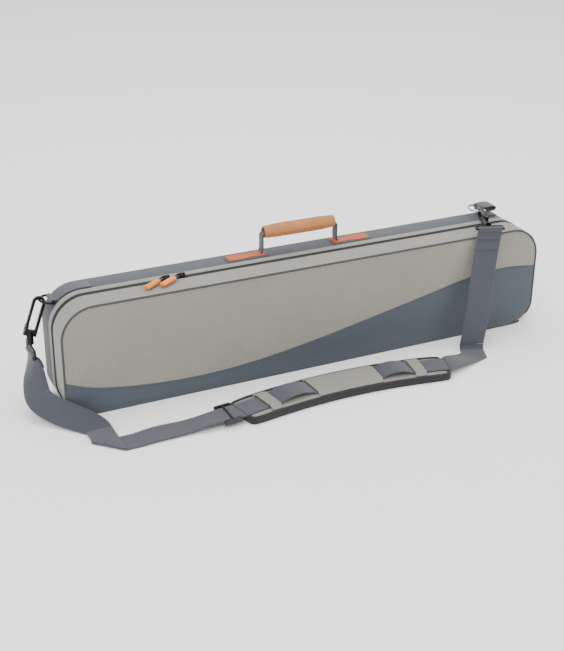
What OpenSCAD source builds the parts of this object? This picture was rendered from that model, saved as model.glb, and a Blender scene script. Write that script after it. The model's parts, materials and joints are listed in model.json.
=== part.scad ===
// Hard-sided fabric case for fishing rods, with a zipped lid, a padded
// carry handle and a clip-on shoulder strap.  Millimetres.
// +X runs to the right, -Y is the front (lid) face, +Z is up.

/* [Case] */
// overall length
case_l = 800; // [600:10:1000]
// overall depth, front to back
case_d = 94; // [80:1:130]
// overall height
case_h = 170; // [140:1:220]
// radius of the two upper corners
top_r = 50; // [30:1:60]
// radius of the two lower corners
bot_r = 35; // [20:1:45]
// thickness of the outer fabric
skin_t = 1.2; // [0.8:0.1:2]
// thickness of the foam walls
foam_t = 4; // [2:0.5:8]
// thickness of the lining
lining_t = 0.8; // [0.5:0.1:1.5]
// radius of the corded piping
piping_r = 1.6; // [1:0.1:3]
// height of the lid's hinge line above the floor
hinge_z = 4; // [3:0.5:10]

/* [Zip] */
// distance of the zip's centre line from the case's mid plane
zip_y = -4; // [-15:1:10]
// visible width of one zip tape
tape_w = 4; // [3:0.5:8]
// width of the pale strip behind the zip
strip_w = 12; // [6:1:20]
// gap between the lid and the base
part_gap = 0.4; // [0.2:0.1:1]
// height above the floor where the zip ends
zip_end = 16; // [10:1:40]
// position of the left slider
slider_l_x = -227; // [-330:1:-220]
// position of the right slider
slider_r_x = -203; // [-210:1:260]

/* [Handle] */
// length of the grip
grip_l = 120; // [90:1:150]
// outer radius of the grip
grip_r = 10.5; // [8:0.5:14]
// height of the grip's axis above the case
grip_h = 35; // [28:1:50]
// width of the handle webbing
handle_w = 14; // [10:1:14]
// sideways position of the handle
handle_x = 2; // [-20:1:20]

/* [Strap] */
// width of the strap webbing
web_w = 38; // [30:1:42]
// thickness of the strap webbing
web_t = 1.8; // [1.2:0.1:2.4]
// length of the shoulder pad
pad_l = 346; // [250:1:400]
// width of the shoulder pad
pad_w = 66; // [50:1:80]
// thickness of the shoulder pad
pad_t = 10; // [6:0.5:15]
// radius the pad is curved to
pad_bend = 775; // [500:5:1200]
// distance of the pad's middle line in front of the case
pad_gap = 77; // [70:1:120]

/* [Hardware] */
// width of the ring tabs
tab_w = 26; // [20:1:30]
// wire radius of the rings and eyes
wire_r = 1.8; // [1.2:0.1:2.5]
// radial play of the pivots
pivot_play = 0.05; // [0.03:0.01:0.1]

/* [Hidden] */
$fn = 64;
far = 1500;
hl = case_l / 2;
hd = case_d / 2;
arc_r = hd + zip_y;
arc_z = hinge_z + arc_r;
half_gap = part_gap / 2;
wall = skin_t + foam_t + lining_t;
lid_low = hinge_z + half_gap;
strip_k = tape_w + strip_w;
band_y = zip_y + strip_k;
band_mid = (band_y + hd) / 2;

// handle
leg_x = grip_l / 2 + 4;
leg_z = case_h + 2.6;
handle_y = band_mid - 1;
grip_z = case_h + grip_h;
core_r = grip_r - 2.5;

// hook: distances from the neck
hook_c = 49.4;
bowl_r = 7.5;
hook_t = 4;
ring_in = bowl_r - hook_t / 2 - wire_r - 0.3;
gate_p = 11;
pin_r = 2;
eye_half = web_w / 2 + 2.6;
eye_drop = 12;
barrel_h = 15;

// left ring and hook
lr_y = band_mid - 2.5;
lr_a = 47;
lr_bx = -hl + top_r - (top_r + 4.3) * sin(lr_a);
lr_bz = case_h - top_r + (top_r + 4.3) * cos(lr_a);
ring_r = tab_w / 2 + 0.5 + wire_r;
ring_off = 1.5;
left_tilt = 20;
lw_x = lr_bx - ring_off - ring_r;
lw_z = lr_bz + 1;
sw_x = lw_x - (hook_c + ring_in) * sin(left_tilt);
neck_z = lw_z - (hook_c + ring_in) * cos(left_tilt);
sw_y = lr_y;
eye_z = neck_z - barrel_h - 3;

// floor webbing
pad_y = -hd - pad_gap;
pad_cy = pad_y - pad_bend;
pad_end = asin(pad_l / 2 / pad_bend);
end_y = pad_cy + pad_bend * cos(pad_end);
web_top = pad_t + 0.9;
fold_x = -hl + 51;

// right riser
yaw = -22;
foot_x = hl - 150;
foot_y = -hd - 50;
rise_x = foot_x + 46;
rise_y = -hd - 11;
rise_z = case_h + 12;
bend_r = 7;
foot_z = 0.9 + web_t + bend_r;
rd = [(rise_x - foot_x) * cos(yaw) + (rise_y - foot_y) * sin(yaw),
  -(rise_x - foot_x) * sin(yaw) + (rise_y - foot_y) * cos(yaw), rise_z - foot_z];
rise_l = norm(rd);
rise_a = -asin(rd[1] / rise_l);
rise_b = atan2(rd[0], rd[2]);
hook_span = barrel_h + 3 + eye_drop + hook_c + ring_in;
rw_x = rise_x + hook_span * -sin(yaw);
rw_y = rise_y + hook_span * cos(yaw);
rr_cx = rw_x + ring_r * -sin(yaw);
rr_y = rw_y + ring_r * cos(yaw);
rr_z = rise_z + 2;
ring_off_r = 4;

// ---------------------------------------------------------------- helpers
module outline(i, zl) {
  translate([-hl + i, zl + bot_r]) square([case_l - 2 * i, case_h - top_r - bot_r - zl]);
  translate([-hl + top_r, case_h - top_r - 1]) square([case_l - 2 * top_r, top_r - i + 1]);
  translate([-hl + bot_r, zl + i]) square([case_l - 2 * bot_r, bot_r - i + 1]);
  for (s = [-1, 1]) {
    translate([s * (hl - top_r), case_h - top_r]) circle(r = top_r - i, $fn = 96);
    translate([s * (hl - bot_r), zl + bot_r]) circle(r = bot_r - i, $fn = 96);
  }
}

module slab(i, y0, y1, zl = 0) {
  translate([0, y1, 0]) rotate([90, 0, 0]) linear_extrude(y1 - y0) outline(i, zl);
}

module ring(i0, i1, y0, y1, zl = 0) {
  translate([0, y1, 0]) rotate([90, 0, 0]) linear_extrude(y1 - y0) difference() {
    outline(i0, zl);
    outline(i1, zl);
  }
}

// everything in front of the parting surface, moved back by k
module zone(k) {
  translate([-far, -far, arc_z]) cube([2 * far, far + zip_y + k, far]);
  translate([-far, -hd, arc_z]) rotate([0, 90, 0]) cylinder(h = 2 * far, r = arc_r + k, $fn = 96);
  translate([-far, -far, arc_z - arc_r - k]) cube([2 * far, far - hd, arc_r + k + 1]);
}

module above(z) {
  translate([-far, -far, z]) cube([2 * far, 2 * far, far]);
}

// corded edge around the outline, centred on the plane y
module cord_edge(y, r, zl, low) {
  i = piping_r;
  difference() {
    union() {
      translate([-hl + top_r, y, case_h - i]) rotate([0, 90, 0])
        cylinder(h = case_l - 2 * top_r, r = r);
      for (s = [0, 1]) mirror([s, 0, 0]) {
        translate([hl - i, y, zl + bot_r]) cylinder(h = case_h - top_r - bot_r - zl, r = r);
        translate([hl - top_r, y, case_h - top_r]) rotate([90, 0, 0])
          rotate_extrude(angle = 90, $fn = 96) translate([top_r - i, 0]) circle(r = r, $fn = 32);
        translate([hl - bot_r, y, zl + bot_r]) rotate([90, 0, 0]) rotate([0, 0, -90])
          rotate_extrude(angle = 90, $fn = 96) translate([bot_r - i, 0]) circle(r = r, $fn = 32);
      }
      if (low < 1) translate([-hl + bot_r, y, zl + i]) rotate([0, 90, 0])
        cylinder(h = case_l - 2 * bot_r, r = r);
    }
    if (low >= 1) translate([-far, -far, -far]) cube([2 * far, 2 * far, far + low]);
  }
}

// the curved seam of the lower front panel, in fractions of length and height
seam = [[-0.55, 0.45], [-0.5, 0.352], [-0.4375, 0.253], [-0.35, 0.192], [-0.24, 0.170],
  [-0.12, 0.206], [0.03, 0.32], [0.225, 0.503], [0.33, 0.605], [0.42, 0.643], [0.5, 0.6],
  [0.56, 0.54]];
function cr(a, b, c, d, t) = 0.5 * ((2 * b) + (c - a) * t + (2 * a - 5 * b + 4 * c - d) * t * t
  + (3 * b - a - 3 * c + d) * t * t * t);
seam_pts = [for (n = [1:len(seam) - 3]) for (t = [0:0.25:0.75])
  [cr(seam[n - 1][0], seam[n][0], seam[n + 1][0], seam[n + 2][0], t) * case_l,
   cr(seam[n - 1][1], seam[n][1], seam[n + 1][1], seam[n + 2][1], t) * case_h]];

module under_seam() {
  translate([0, far / 2, 0]) rotate([90, 0, 0]) linear_extrude(far)
    polygon(concat([[far, -far], [-far, -far], [-far, 0.36 * case_h]], seam_pts,
      [[far, 0.6 * case_h]]));
}

// square rebates that the piping sits in
module rear_rebate() {
  ring(-1, 2 * piping_r + 0.1, hd - piping_r - 0.1, hd + 1);
}

module front_rebate() {
  intersection() {
    ring(-1, 2 * piping_r + 0.1, -hd - 1, -hd + piping_r + 0.1, lid_low);
    above(zip_end - 0.1);
  }
}

module bar(a, b, r) {
  v = b - a;
  translate(a) rotate([0, acos(v[2] / norm(v)), atan2(v[1], v[0])]) cylinder(h = norm(v), r = r, $fn = 32);
}

// ---------------------------------------------------------------- base
module rear_panel() {
  color("#555b66") difference() {
    slab(0, hd - skin_t, hd);
    rear_rebate();
  }
}

module rear_gusset() {
  color("#555b66") difference() {
    ring(0, skin_t, -hd, hd - skin_t);
    zone(half_gap);
    intersection() {
      zone(strip_k);
      above(zip_end);
    }
    rear_rebate();
  }
}

module light_strip() {
  color("#9c9c92") intersection() {
    difference() {
      ring(0, skin_t, -hd, hd - skin_t);
      zone(tape_w);
    }
    zone(strip_k);
    above(zip_end);
  }
}

module base_foam() {
  color("#3c3f44") difference() {
    slab(skin_t, -hd + 1, hd - skin_t);
    slab(skin_t + foam_t, -far, hd - skin_t - foam_t);
    zone(half_gap);
    rear_rebate();
  }
}

module base_lining() {
  color("#84858a") difference() {
    slab(skin_t + foam_t, -hd + 1, hd - skin_t - foam_t);
    slab(wall, -far, hd - wall);
    zone(half_gap);
  }
}

module rear_piping() {
  color("#3a3d3b") cord_edge(hd, piping_r, 0, 0);
}

module rear_zip_tape() {
  color("#17181a") intersection() {
    difference() {
      ring(0.5, skin_t, -hd, hd);
      zone(half_gap);
    }
    zone(tape_w);
    above(zip_end);
  }
}

module rear_zip_teeth() {
  color("#0f1011") intersection() {
    difference() {
      ring(-0.3, 0.5, -hd, hd);
      zone(half_gap);
    }
    zone(1.6);
    above(zip_end);
  }
}

module hinge_tape() {
  w = case_l - 2 * bot_r;
  color("#464d56") union() {
    translate([-w / 2, -hd - 1.1, 0.4]) cube([w, 1.1, hinge_z - 1]);
    translate([-w / 2, -hd - 1.1, 0.4]) cube([w, 0.8, hinge_z + 9]);
  }
}

module handle_patches() {
  color("#4b515c") for (s = [-1, 1])
    translate([handle_x + s * (leg_x + 25) - 35, handle_y - 13, case_h]) cube([70, 26, 0.9]);
}

module handle_tabs() {
  color("#d0703a") for (s = [-1, 1])
    translate([handle_x + s * (leg_x + 25), handle_y, case_h + 0.9]) difference() {
      intersection() {
        translate([-32, -10, 0]) cube([64, 20, 1.3]);
        cylinder(h = 3, r = 32.5);
      }
      translate([-s * 25 - 7, -3.2, -1]) cube([14, 6.4, 4]);
    }
}

module ring_tab_left() {
  color("#5b5a63") difference() {
    union() {
      translate([-hl + top_r, lr_y - tab_w / 2, case_h]) cube([16, tab_w, web_t]);
      translate([-hl + top_r, lr_y, case_h - top_r]) rotate([90, 0, 0]) rotate([0, 0, 90])
        rotate_extrude(angle = lr_a, $fn = 96) translate([top_r, -tab_w / 2]) square([web_t, tab_w]);
      translate([lr_bx, lr_y - tab_w / 2, lr_bz]) rotate([-90, 0, 0]) cylinder(h = tab_w, r = 4);
    }
    translate([lr_bx, lr_y - far, lr_bz]) rotate([-90, 0, 0]) cylinder(h = 2 * far, r = wire_r + 0.3);
  }
}

module d_ring(x, y, z, off) {
  // straight bar along Y, bow towards -X
  translate([x, y, z]) {
    translate([0, -ring_r, 0]) rotate([-90, 0, 0]) cylinder(h = 2 * ring_r, r = wire_r, $fn = 32);
    for (s = [-1, 1]) {
      translate([0, s * ring_r, 0]) sphere(r = wire_r, $fn = 32);
      translate([-off, s * ring_r, 0]) rotate([0, 90, 0]) cylinder(h = off, r = wire_r, $fn = 32);
    }
    translate([-off, 0, 0]) rotate([0, 0, 90])
      rotate_extrude(angle = 180, $fn = 64) translate([ring_r, 0]) circle(r = wire_r, $fn = 32);
  }
}

module d_ring_left() {
  color("#26282b") translate([lr_bx, lr_y, lr_bz]) rotate([0, 4, 0]) translate([-lr_bx, -lr_y, -lr_bz])
    d_ring(lr_bx, lr_y, lr_bz, ring_off);
}

module ring_tab_right() {
  bx = rr_cx + ring_off_r;
  color("#3a3b40") difference() {
    union() {
      translate([bx, rr_y - tab_w / 2, rr_z]) rotate([-90, 0, 0]) cylinder(h = tab_w, r = 4);
      translate([bx, rr_y - tab_w / 2, rr_z + 2.2]) cube([20, tab_w, 1.8]);
      translate([bx, rr_y - tab_w / 2, rr_z - 4]) cube([20, tab_w, 1.8]);
      translate([bx + 20, rr_y - tab_w / 2, rr_z]) rotate([-90, 0, 0]) cylinder(h = tab_w, r = 4);
      translate([bx, rr_y - tab_w / 2, case_h]) cube([20, tab_w, rr_z - 4 - case_h + 0.5]);
    }
    translate([bx, rr_y - far, rr_z]) rotate([-90, 0, 0]) cylinder(h = 2 * far, r = wire_r + 0.3);
    translate([bx + 20, rr_y - far, rr_z]) rotate([-90, 0, 0]) cylinder(h = 2 * far, r = 2.2);
  }
}

module d_ring_right() {
  color("#b9bbbd") d_ring(rr_cx + ring_off_r, rr_y, rr_z, ring_off_r);
}

rack_z = 0.5 * case_h;
slot_r = 7;
inner_top = case_h - wall;
inner_back = hd - wall;
module rod_rack(x) {
  translate([x - 14, 0, 0]) difference() {
    translate([0, zip_y + 2, rack_z + 8]) cube([28, inner_back - zip_y - 2, inner_top - rack_z - 8]);
    for (n = [0:3]) {
      translate([-1, 8, rack_z + 18 + n * 17]) rotate([0, 90, 0]) cylinder(h = 30, r = slot_r);
      translate([-1, -far + 8, rack_z + 18 + n * 17 - 4]) cube([30, far, 8]);
    }
  }
}

module rod_rack_left() {
  color("#2f3135") rod_rack(-0.3 * case_l);
}

module rod_rack_right() {
  color("#2f3135") rod_rack(0.3 * case_l);
}

module rod_shelf() {
  color("#6f7176") translate([-hl + wall + 2, zip_y + 2, rack_z]) 
    cube([case_l - 2 * wall - 4, inner_back - zip_y - 2, 8]);
}

module reel_dividers() {
  color("#7c7e83") for (n = [-1:1])
    translate([n * case_l / 4 - 4, zip_y + 2, wall]) cube([8, inner_back - zip_y - 2, rack_z - wall]);
}

module rod_retainers() {
  color("#1d1e20") for (s = [-1, 1])
    translate([s * 0.3 * case_l - 10, zip_y + 0.6, rack_z + 1]) cube([20, 1.4, inner_top - rack_z - 2]);
}

// ---------------------------------------------------------------- hooks
module barrel_cut() {
  translate([0, 0, -barrel_h - 1]) cylinder(h = barrel_h, r = pin_r + pivot_play, $fn = 48);
  translate([0, 0, -6]) cylinder(h = 3.4, r = pin_r + 1.6, $fn = 48);
}

// origin at the neck, the bowl above it, in the XZ plane
module hook_blade() {
  o = bowl_r + hook_t / 2;
  difference() {
    union() {
      translate([-o, -2.6, -2]) cube([2 * o, 5.2, 9]);
      translate([bowl_r - hook_t / 2, -2, 6]) cube([hook_t, 4, hook_c - 6]);
      translate([0, 0, hook_c]) rotate([90, 0, 0]) rotate_extrude(angle = 180, $fn = 64)
        translate([bowl_r, 0]) square([hook_t, 4], center = true);
      translate([-o, -2, hook_c - 8]) cube([hook_t, 4, 8]);
      for (s = [-1, 1]) translate([-o, s * 3.2 - 0.9, 4]) cube([hook_t, 1.8, gate_p - 1]);
      translate([-bowl_r, -4, gate_p]) rotate([-90, 0, 0]) cylinder(h = 8, r = 1, $fn = 32);
    }
  }
}

module hook_gate() {
  difference() {
    union() {
      translate([-bowl_r, -1.9, gate_p]) rotate([-90, 0, 0]) cylinder(h = 3.8, r = 1.9, $fn = 32);
      translate([-bowl_r - 1.9, -1.9, gate_p]) cube([3.8, 3.8, hook_c - 8.5 - gate_p]);
    }
    translate([-bowl_r, -far, gate_p]) rotate([-90, 0, 0]) cylinder(h = 2 * far, r = 1 + pivot_play, $fn = 32);
  }
}

module hook_all(tilt) {
  difference() {
    union() {
      rotate([0, tilt, 0]) hook_blade();
      translate([0, 0, -barrel_h]) cylinder(h = barrel_h, r = 5, $fn = 48);
      sphere(r = 5, $fn = 48);
    }
    barrel_cut();
  }
}

module eye_frame() {
  // origin at the neck; the eye hangs below the barrel, its bars along Y
  zt = -barrel_h - 3;
  translate([0, 0, zt]) cylinder(h = barrel_h - 2.7, r = pin_r, $fn = 48);
  translate([0, 0, -5.7]) cylinder(h = 2.8, r = pin_r + 1.2, $fn = 48);
  for (s = [-1, 1]) {
    bar([0, s * eye_half, zt], [0, s * eye_half, zt - eye_drop], wire_r);
    for (z = [zt, zt - eye_drop]) translate([0, s * eye_half, z]) sphere(r = wire_r, $fn = 32);
  }
  for (z = [zt, zt - eye_drop])
    translate([0, -eye_half, z]) rotate([-90, 0, 0]) cylinder(h = 2 * eye_half, r = wire_r, $fn = 32);
}

module hook_left() {
  color("#141517") translate([sw_x, sw_y, neck_z]) hook_all(left_tilt);
}

module gate_left() {
  color("#1e1f22") translate([sw_x, sw_y, neck_z]) rotate([0, left_tilt, 0]) hook_gate();
}

module swivel_eye_left() {
  color("#141517") translate([sw_x, sw_y, neck_z]) eye_frame();
}

// lays the hook down: eye at the riser's top, bowl on the right ring
module lay_right() {
  translate([rise_x, rise_y, rise_z + 2]) rotate([0, 0, yaw]) rotate([-90, 0, 0])
    rotate([0, 0, 90]) translate([0, 0, barrel_h + 3 + eye_drop]) children();
}

module hook_right() {
  color("#141517") lay_right() hook_all(0);
}

module gate_right() {
  color("#1e1f22") lay_right() hook_gate();
}

module swivel_eye_right() {
  color("#141517") lay_right() eye_frame();
}

// ---------------------------------------------------------------- lid
module front_face() {
  intersection() {
    difference() {
      slab(0, -hd, -hd + skin_t, lid_low);
      front_rebate();
    }
    zone(-half_gap);
  }
}

module front_panel() {
  color("#8a887c") difference() {
    front_face();
    under_seam();
  }
}

module lower_panel() {
  color("#464d56") intersection() {
    front_face();
    under_seam();
  }
}

module lid_gusset() {
  color("#9c9c92") difference() {
    intersection() {
      ring(0, skin_t, -hd + skin_t, hd, lid_low);
      zone(-half_gap);
    }
    difference() {
      above(zip_end);
      zone(-tape_w);
    }
    front_rebate();
  }
}

module lid_foam() {
  color("#3c3f44") intersection() {
    difference() {
      slab(skin_t, -hd + skin_t, hd, lid_low);
      slab(skin_t + foam_t, -hd + skin_t + foam_t, far, lid_low);
      front_rebate();
    }
    zone(-half_gap);
  }
}

module lid_lining() {
  color("#84858a") intersection() {
    difference() {
      slab(skin_t + foam_t, -hd + skin_t + foam_t, hd, lid_low);
      slab(wall, -hd + wall, far, lid_low);
    }
    zone(-half_gap);
  }
}

module front_piping() {
  color("#3a3d3b") cord_edge(-hd, piping_r, lid_low, zip_end);
}

module front_zip_tape() {
  color("#17181a") intersection() {
    difference() {
      ring(0.5, skin_t, -hd, hd, lid_low);
      zone(-tape_w);
    }
    zone(-half_gap);
    above(zip_end);
  }
}

module front_zip_teeth() {
  color("#0f1011") intersection() {
    difference() {
      ring(-0.3, 0.5, -hd, hd, lid_low);
      zone(-1.6);
    }
    zone(-half_gap);
    above(zip_end);
  }
}

pocket_l = 0.62 * case_l;
pocket_h = 0.52 * case_h;
pocket_d = 7;
pocket_z = lid_low + wall + 8;
module mesh_pocket() {
  color("#2a2c2f") translate([-pocket_l / 2, -hd + wall + pocket_d - 0.8, pocket_z])
    cube([pocket_l, 0.8, pocket_h]);
}

module pocket_binding() {
  color("#17181a") union() {
    translate([-pocket_l / 2 - 3, -hd + wall, pocket_z - 3]) cube([pocket_l + 6, pocket_d + 0.6, 3]);
    for (s = [0, 1]) mirror([s, 0, 0])
      translate([pocket_l / 2, -hd + wall, pocket_z - 1]) cube([3, pocket_d + 0.6, pocket_h + 1]);
    translate([-pocket_l / 2 - 3, -hd + wall + pocket_d - 1.4, pocket_z + pocket_h]) cube([pocket_l + 6, 2, 3]);
  }
}

// ---------------------------------------------------------------- sliders
module slider(x) {
  translate([x, zip_y, case_h + 0.5]) {
    difference() {
      union() {
        translate([-6, -4.5, 0]) cube([12, 9, 2.2]);
        for (s = [-1, 1]) translate([s * 3.6 - 1, -1.2, 2]) cube([2, 2.4, 3.2]);
        translate([-4.6, -1.2, 4.6]) cube([9.2, 2.4, 1.4]);
      }
    }
  }
}

module slider_left() {
  color("#1a1b1d") slider(slider_l_x);
}

module slider_right() {
  color("#1a1b1d") slider(slider_r_x);
}

pull_a = 214;
cord_r = 1.1;
function turned(p) = [p[0] * cos(pull_a) - p[1] * sin(pull_a), p[0] * sin(pull_a) + p[1] * cos(pull_a), p[2]];

// a round cord through the slider's bridge, both ends in the grip
module pull_cord(x) {
  translate([x, zip_y, case_h + 3.9]) {
    bar([0, -3.4, 0], [0, 3.4, 0], cord_r - 0.08);
    for (s = [-1, 1]) {
      q = turned([15, s * 1.8, 0.8]);
      e = turned([20.5, s * 1.8, 0.8]);
      bar([0.6, -s * 2.9, 0], [-7, -s * 2.9, 0], cord_r);
      bar([-6.1, -s * 2.9, 0], q + (e - q) / 10, cord_r - 0.06);
      bar(q - (e - q) / 10, e, cord_r - 0.02);
    }
  }
}

module pull_grip(x) {
  translate([x, zip_y, case_h + 4.7]) rotate([0, 0, pull_a]) translate([17, 0, 0]) difference() {
    union() {
      translate([0, -4.5, -2.4]) cube([28, 9, 4.8]);
      translate([28, 0, -2.4]) cylinder(h = 4.8, r = 4.5, $fn = 32);
    }
    for (s = [-1, 1]) translate([-1, s * 1.8, 0]) rotate([0, 90, 0]) cylinder(h = 5, r = cord_r + 0.03, $fn = 24);
  }
}

module pull_cord_left() {
  color("#101112") pull_cord(slider_l_x);
}

module pull_grip_left() {
  color("#e8822e") pull_grip(slider_l_x);
}

module pull_cord_right() {
  color("#101112") pull_cord(slider_r_x);
}

module pull_grip_right() {
  color("#e8822e") pull_grip(slider_r_x);
}

// ---------------------------------------------------------------- handle
module handle_webbing() {
  // the foot of each leg is round about the line it folds on
  r = 6;
  t = 2.4;
  fold_z = leg_z + handle_w / 2;
  color("#55545e") union() {
    translate([handle_x, handle_y + handle_w / 2, 0]) rotate([90, 0, 0])
      linear_extrude(handle_w) for (s = [0, 1]) mirror([s, 0]) {
        translate([leg_x - t, fold_z]) square([t, grip_z - r - fold_z]);
        intersection() {
          translate([leg_x - r, grip_z - r]) difference() {
            circle(r = r);
            circle(r = r - t);
          }
          translate([leg_x - r, grip_z - r]) square([r + 1, r + 1]);
        }
        translate([0, grip_z - t]) square([leg_x - r, t]);
      }
    for (s = [-1, 1])
      translate([handle_x + s * (leg_x - t / 2) - t / 2 + 0.1, handle_y, fold_z]) rotate([0, 90, 0])
        cylinder(h = t - 0.2, r = handle_w / 2 - 0.1);
  }
}

module handle_core() {
  color("#303236") difference() {
    translate([handle_x - leg_x + 6.3, handle_y, grip_z]) rotate([0, 90, 0])
      cylinder(h = 2 * leg_x - 12.6, r = core_r);
    translate([handle_x - far, handle_y - handle_w / 2 - 0.1, grip_z - 2.5]) cube([2 * far, handle_w + 0.2, 2.6]);
  }
}

module handle_grip() {
  e = grip_r - 1.6;
  color("#c08a5a") translate([handle_x, handle_y, grip_z]) rotate([0, 90, 0]) difference() {
    union() {
      translate([0, 0, -0.3 * grip_l]) cylinder(h = 0.6 * grip_l, r = grip_r);
      for (s = [0, 1]) mirror([0, 0, s])
        translate([0, 0, 0.3 * grip_l]) cylinder(h = 0.2 * grip_l, r1 = grip_r, r2 = e);
    }
    cylinder(h = 2 * grip_l, r = core_r + 0.05, center = true);
  }
}

// ---------------------------------------------------------------- strap
function mix(a, b, t) = a + (b - a) * t;
// the hanging part turns from facing -X at the eye to lying on the floor
hang_n = 14;
hang_top = [sw_x, sw_y, eye_z - eye_drop - wire_r - 0.4 - web_t];
hang_end = [fold_x - web_w / 2, -hd - 50, 3 + web_t / 2];
function ease(t) = t <= 0 ? 0 : t * t * (3 - 2 * t);
function hang_c(t) = [mix(hang_top[0], hang_end[0], ease((t - 0.45) / 0.55)) - 8 * pow(sin(180 * t), 2),
  mix(hang_top[1], hang_end[1], 0.5 * ease(t) + 0.5 * pow(t, 1.3)),
  mix(hang_top[2], hang_end[2], 1 - pow(1 - t, 1.3))];
function hang_u(t) = [sin(90 * t), -cos(90 * t), 0];
function hang_d(t) = hang_c(min(1, t + 0.02)) - hang_c(max(0, t - 0.02));
function hang_w(t) = t <= 0 ? [0, -1, 0] : t >= 1 ? [1, 0, 0] : let (v = cross(hang_d(t), hang_u(t)))
  cross(v, hang_d(t)) / norm(cross(v, hang_d(t)));
function hang_v(t) = t <= 0 ? [-1, 0, 0] : t >= 1 ? [0, 0, 1] : cross(hang_d(t), hang_u(t))
  / norm(cross(hang_d(t), hang_u(t)));
hang_pts = [for (i = [0:hang_n]) let (t = i / hang_n, c = hang_c(t), w = hang_w(t) * web_w / 2,
  v = hang_v(t) * web_t / 2) each [c - w - v, c + w - v, c + w + v, c - w + v]];
hang_faces = concat([[0, 1, 2], [0, 2, 3]], [for (i = [0:hang_n - 1]) for (k = [0:3])
  each [[4 * i + 4 + (k + 1) % 4, 4 * i + (k + 1) % 4, 4 * i + k],
    [4 * i + 4 + k, 4 * i + 4 + (k + 1) % 4, 4 * i + k]]],
  [[4 * hang_n + 2, 4 * hang_n + 1, 4 * hang_n], [4 * hang_n + 3, 4 * hang_n + 2, 4 * hang_n]]);

module left_webbing() {
  color("#5b5a63") polyhedron(points = hang_pts, faces = hang_faces, convexity = 6);
}

module left_webbing_loop() {
  color("#5b5a63") translate([sw_x, sw_y, eye_z - eye_drop]) rotate([90, 0, 0]) difference() {
    cylinder(h = web_w, r = wire_r + 0.3 + web_t, center = true);
    cylinder(h = web_w + 2, r = wire_r + 0.3, center = true);
  }
}

module left_webbing_floor() {
  color("#5b5a63") translate([0, -0.05, 0]) {
    fold_piece();
    run_piece();
  }
}

// a flat band that follows the pad's curve, angles from the middle, +X positive
module arc_band(r0, r1, z0, z1, a0, a1) {
  translate([0, pad_cy, 0]) rotate([0, 0, 90 - a1]) rotate_extrude(angle = a1 - a0, $fn = 720)
    translate([r0, z0]) square([r1 - r0, z1 - z0]);
}

module pad_plate(inset, z0, z1) {
  e = pad_end - asin(inset / pad_bend);
  h = pad_w / 2 - inset;
  arc_band(pad_bend - h, pad_bend + h, z0, z1, -e, e);
}

run_drop = web_top - 0.5;
run_x0 = fold_x + 20;
run_x1 = -pad_bend * sin(pad_end) - 1;
run_a = atan(run_drop / (run_x1 - run_x0));
fold_l = fold_x - web_w;

module fold_piece() {
  // the webbing lies down towards the front, then folds back under along a diagonal
  translate([0, 0, 3]) linear_extrude(web_t)
    polygon([[fold_l, hang_end[1]], [fold_x, hang_end[1]], [fold_x, end_y - web_w / 2],
      [fold_l, end_y + web_w / 2]]);
  bar([fold_l + 0.8, end_y + web_w / 2 - 0.8, 1.75 + web_t / 2], [fold_x - 0.8, end_y - web_w / 2 + 0.8,
    1.75 + web_t / 2], 1.4 + web_t / 2);
}

module run_piece() {
  difference() {
    translate([0, end_y + web_w / 2, 0]) rotate([90, 0, 0]) linear_extrude(web_w)
      polygon([[fold_l, 0.5], [run_x0, 0.5], [run_x1, 0.5 + run_drop], [run_x1 + 9, 0.5 + run_drop],
        [run_x1 + 9, 0.5 + run_drop + web_t], [run_x1, 0.5 + run_drop + web_t], [run_x0, 0.5 + web_t],
        [fold_l, 0.5 + web_t]]);
    translate([0, pad_cy, -1]) rotate([0, 0, pad_end]) translate([-0.6, 0, 0]) cube([400, far, 50]);
    translate([fold_l, end_y + web_w / 2, -1]) rotate([0, 0, -45]) translate([-60, -200, 0]) cube([400, 200, 9]);
  }
}

glide_x = run_x1 - 18;
module tri_glide() {
  h = web_w / 2 + 2.6;
  k = web_t / 2 + 0.4 + 1.4;
  color("#1b1c1e") translate([run_x0, end_y, 0.5]) rotate([0, -run_a, 0])
    translate([(glide_x - run_x0) / cos(run_a), 0, web_t / 2]) {
      for (s = [-1, 1]) {
        translate([-12.4, s * h - 1.4, -k - 1.4]) cube([24.8, 2.8, 2 * k + 2.8]);
        bar([s * 11, -h, -k], [s * 11, h, -k], 1.4);
      }
      bar([0, -h, k], [0, h, k], 1.4);
    }
}

lip = 0.6;
module pad_cover() {
  color("#8a887c") pad_plate(2.2, pad_t - 1, pad_t);
}

module pad_foam() {
  color("#2c2e31") pad_plate(2.2, 1.6, pad_t - 1);
}

module pad_backing() {
  color("#26272a") pad_plate(2.2, lip, 1.6);
}

module pad_binding() {
  color("#17181a") difference() {
    pad_plate(0, 0, pad_t + lip);
    pad_plate(2.2, lip, pad_t);
    pad_plate(6, -1, pad_t + 5);
  }
}

// a bridge over the webbing, centred at x, w long
module bridge(x, w) {
  a0 = asin((x - w / 2) / pad_bend);
  a1 = asin((x + w / 2) / pad_bend);
  h = pad_w / 2 - 6.4;
  z = web_top + web_t + 0.2;
  difference() {
    arc_band(pad_bend - h, pad_bend + h, pad_t, z + 1, a0, a1);
    arc_band(pad_bend - web_w / 2 - 0.4, pad_bend + web_w / 2 + 0.4, pad_t - 1, z, a0 - 1, a1 + 1);
  }
}

tab_x = 0.36 * pad_l;
patch_half = 0.16 * pad_l;
patch_x = 5;
module pad_tabs() {
  color("#77767a") for (s = [-1, 1]) bridge(s * tab_x, 18);
}

module pad_patch() {
  color("#8a887c") bridge(patch_x, 2 * patch_half);
}

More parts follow.
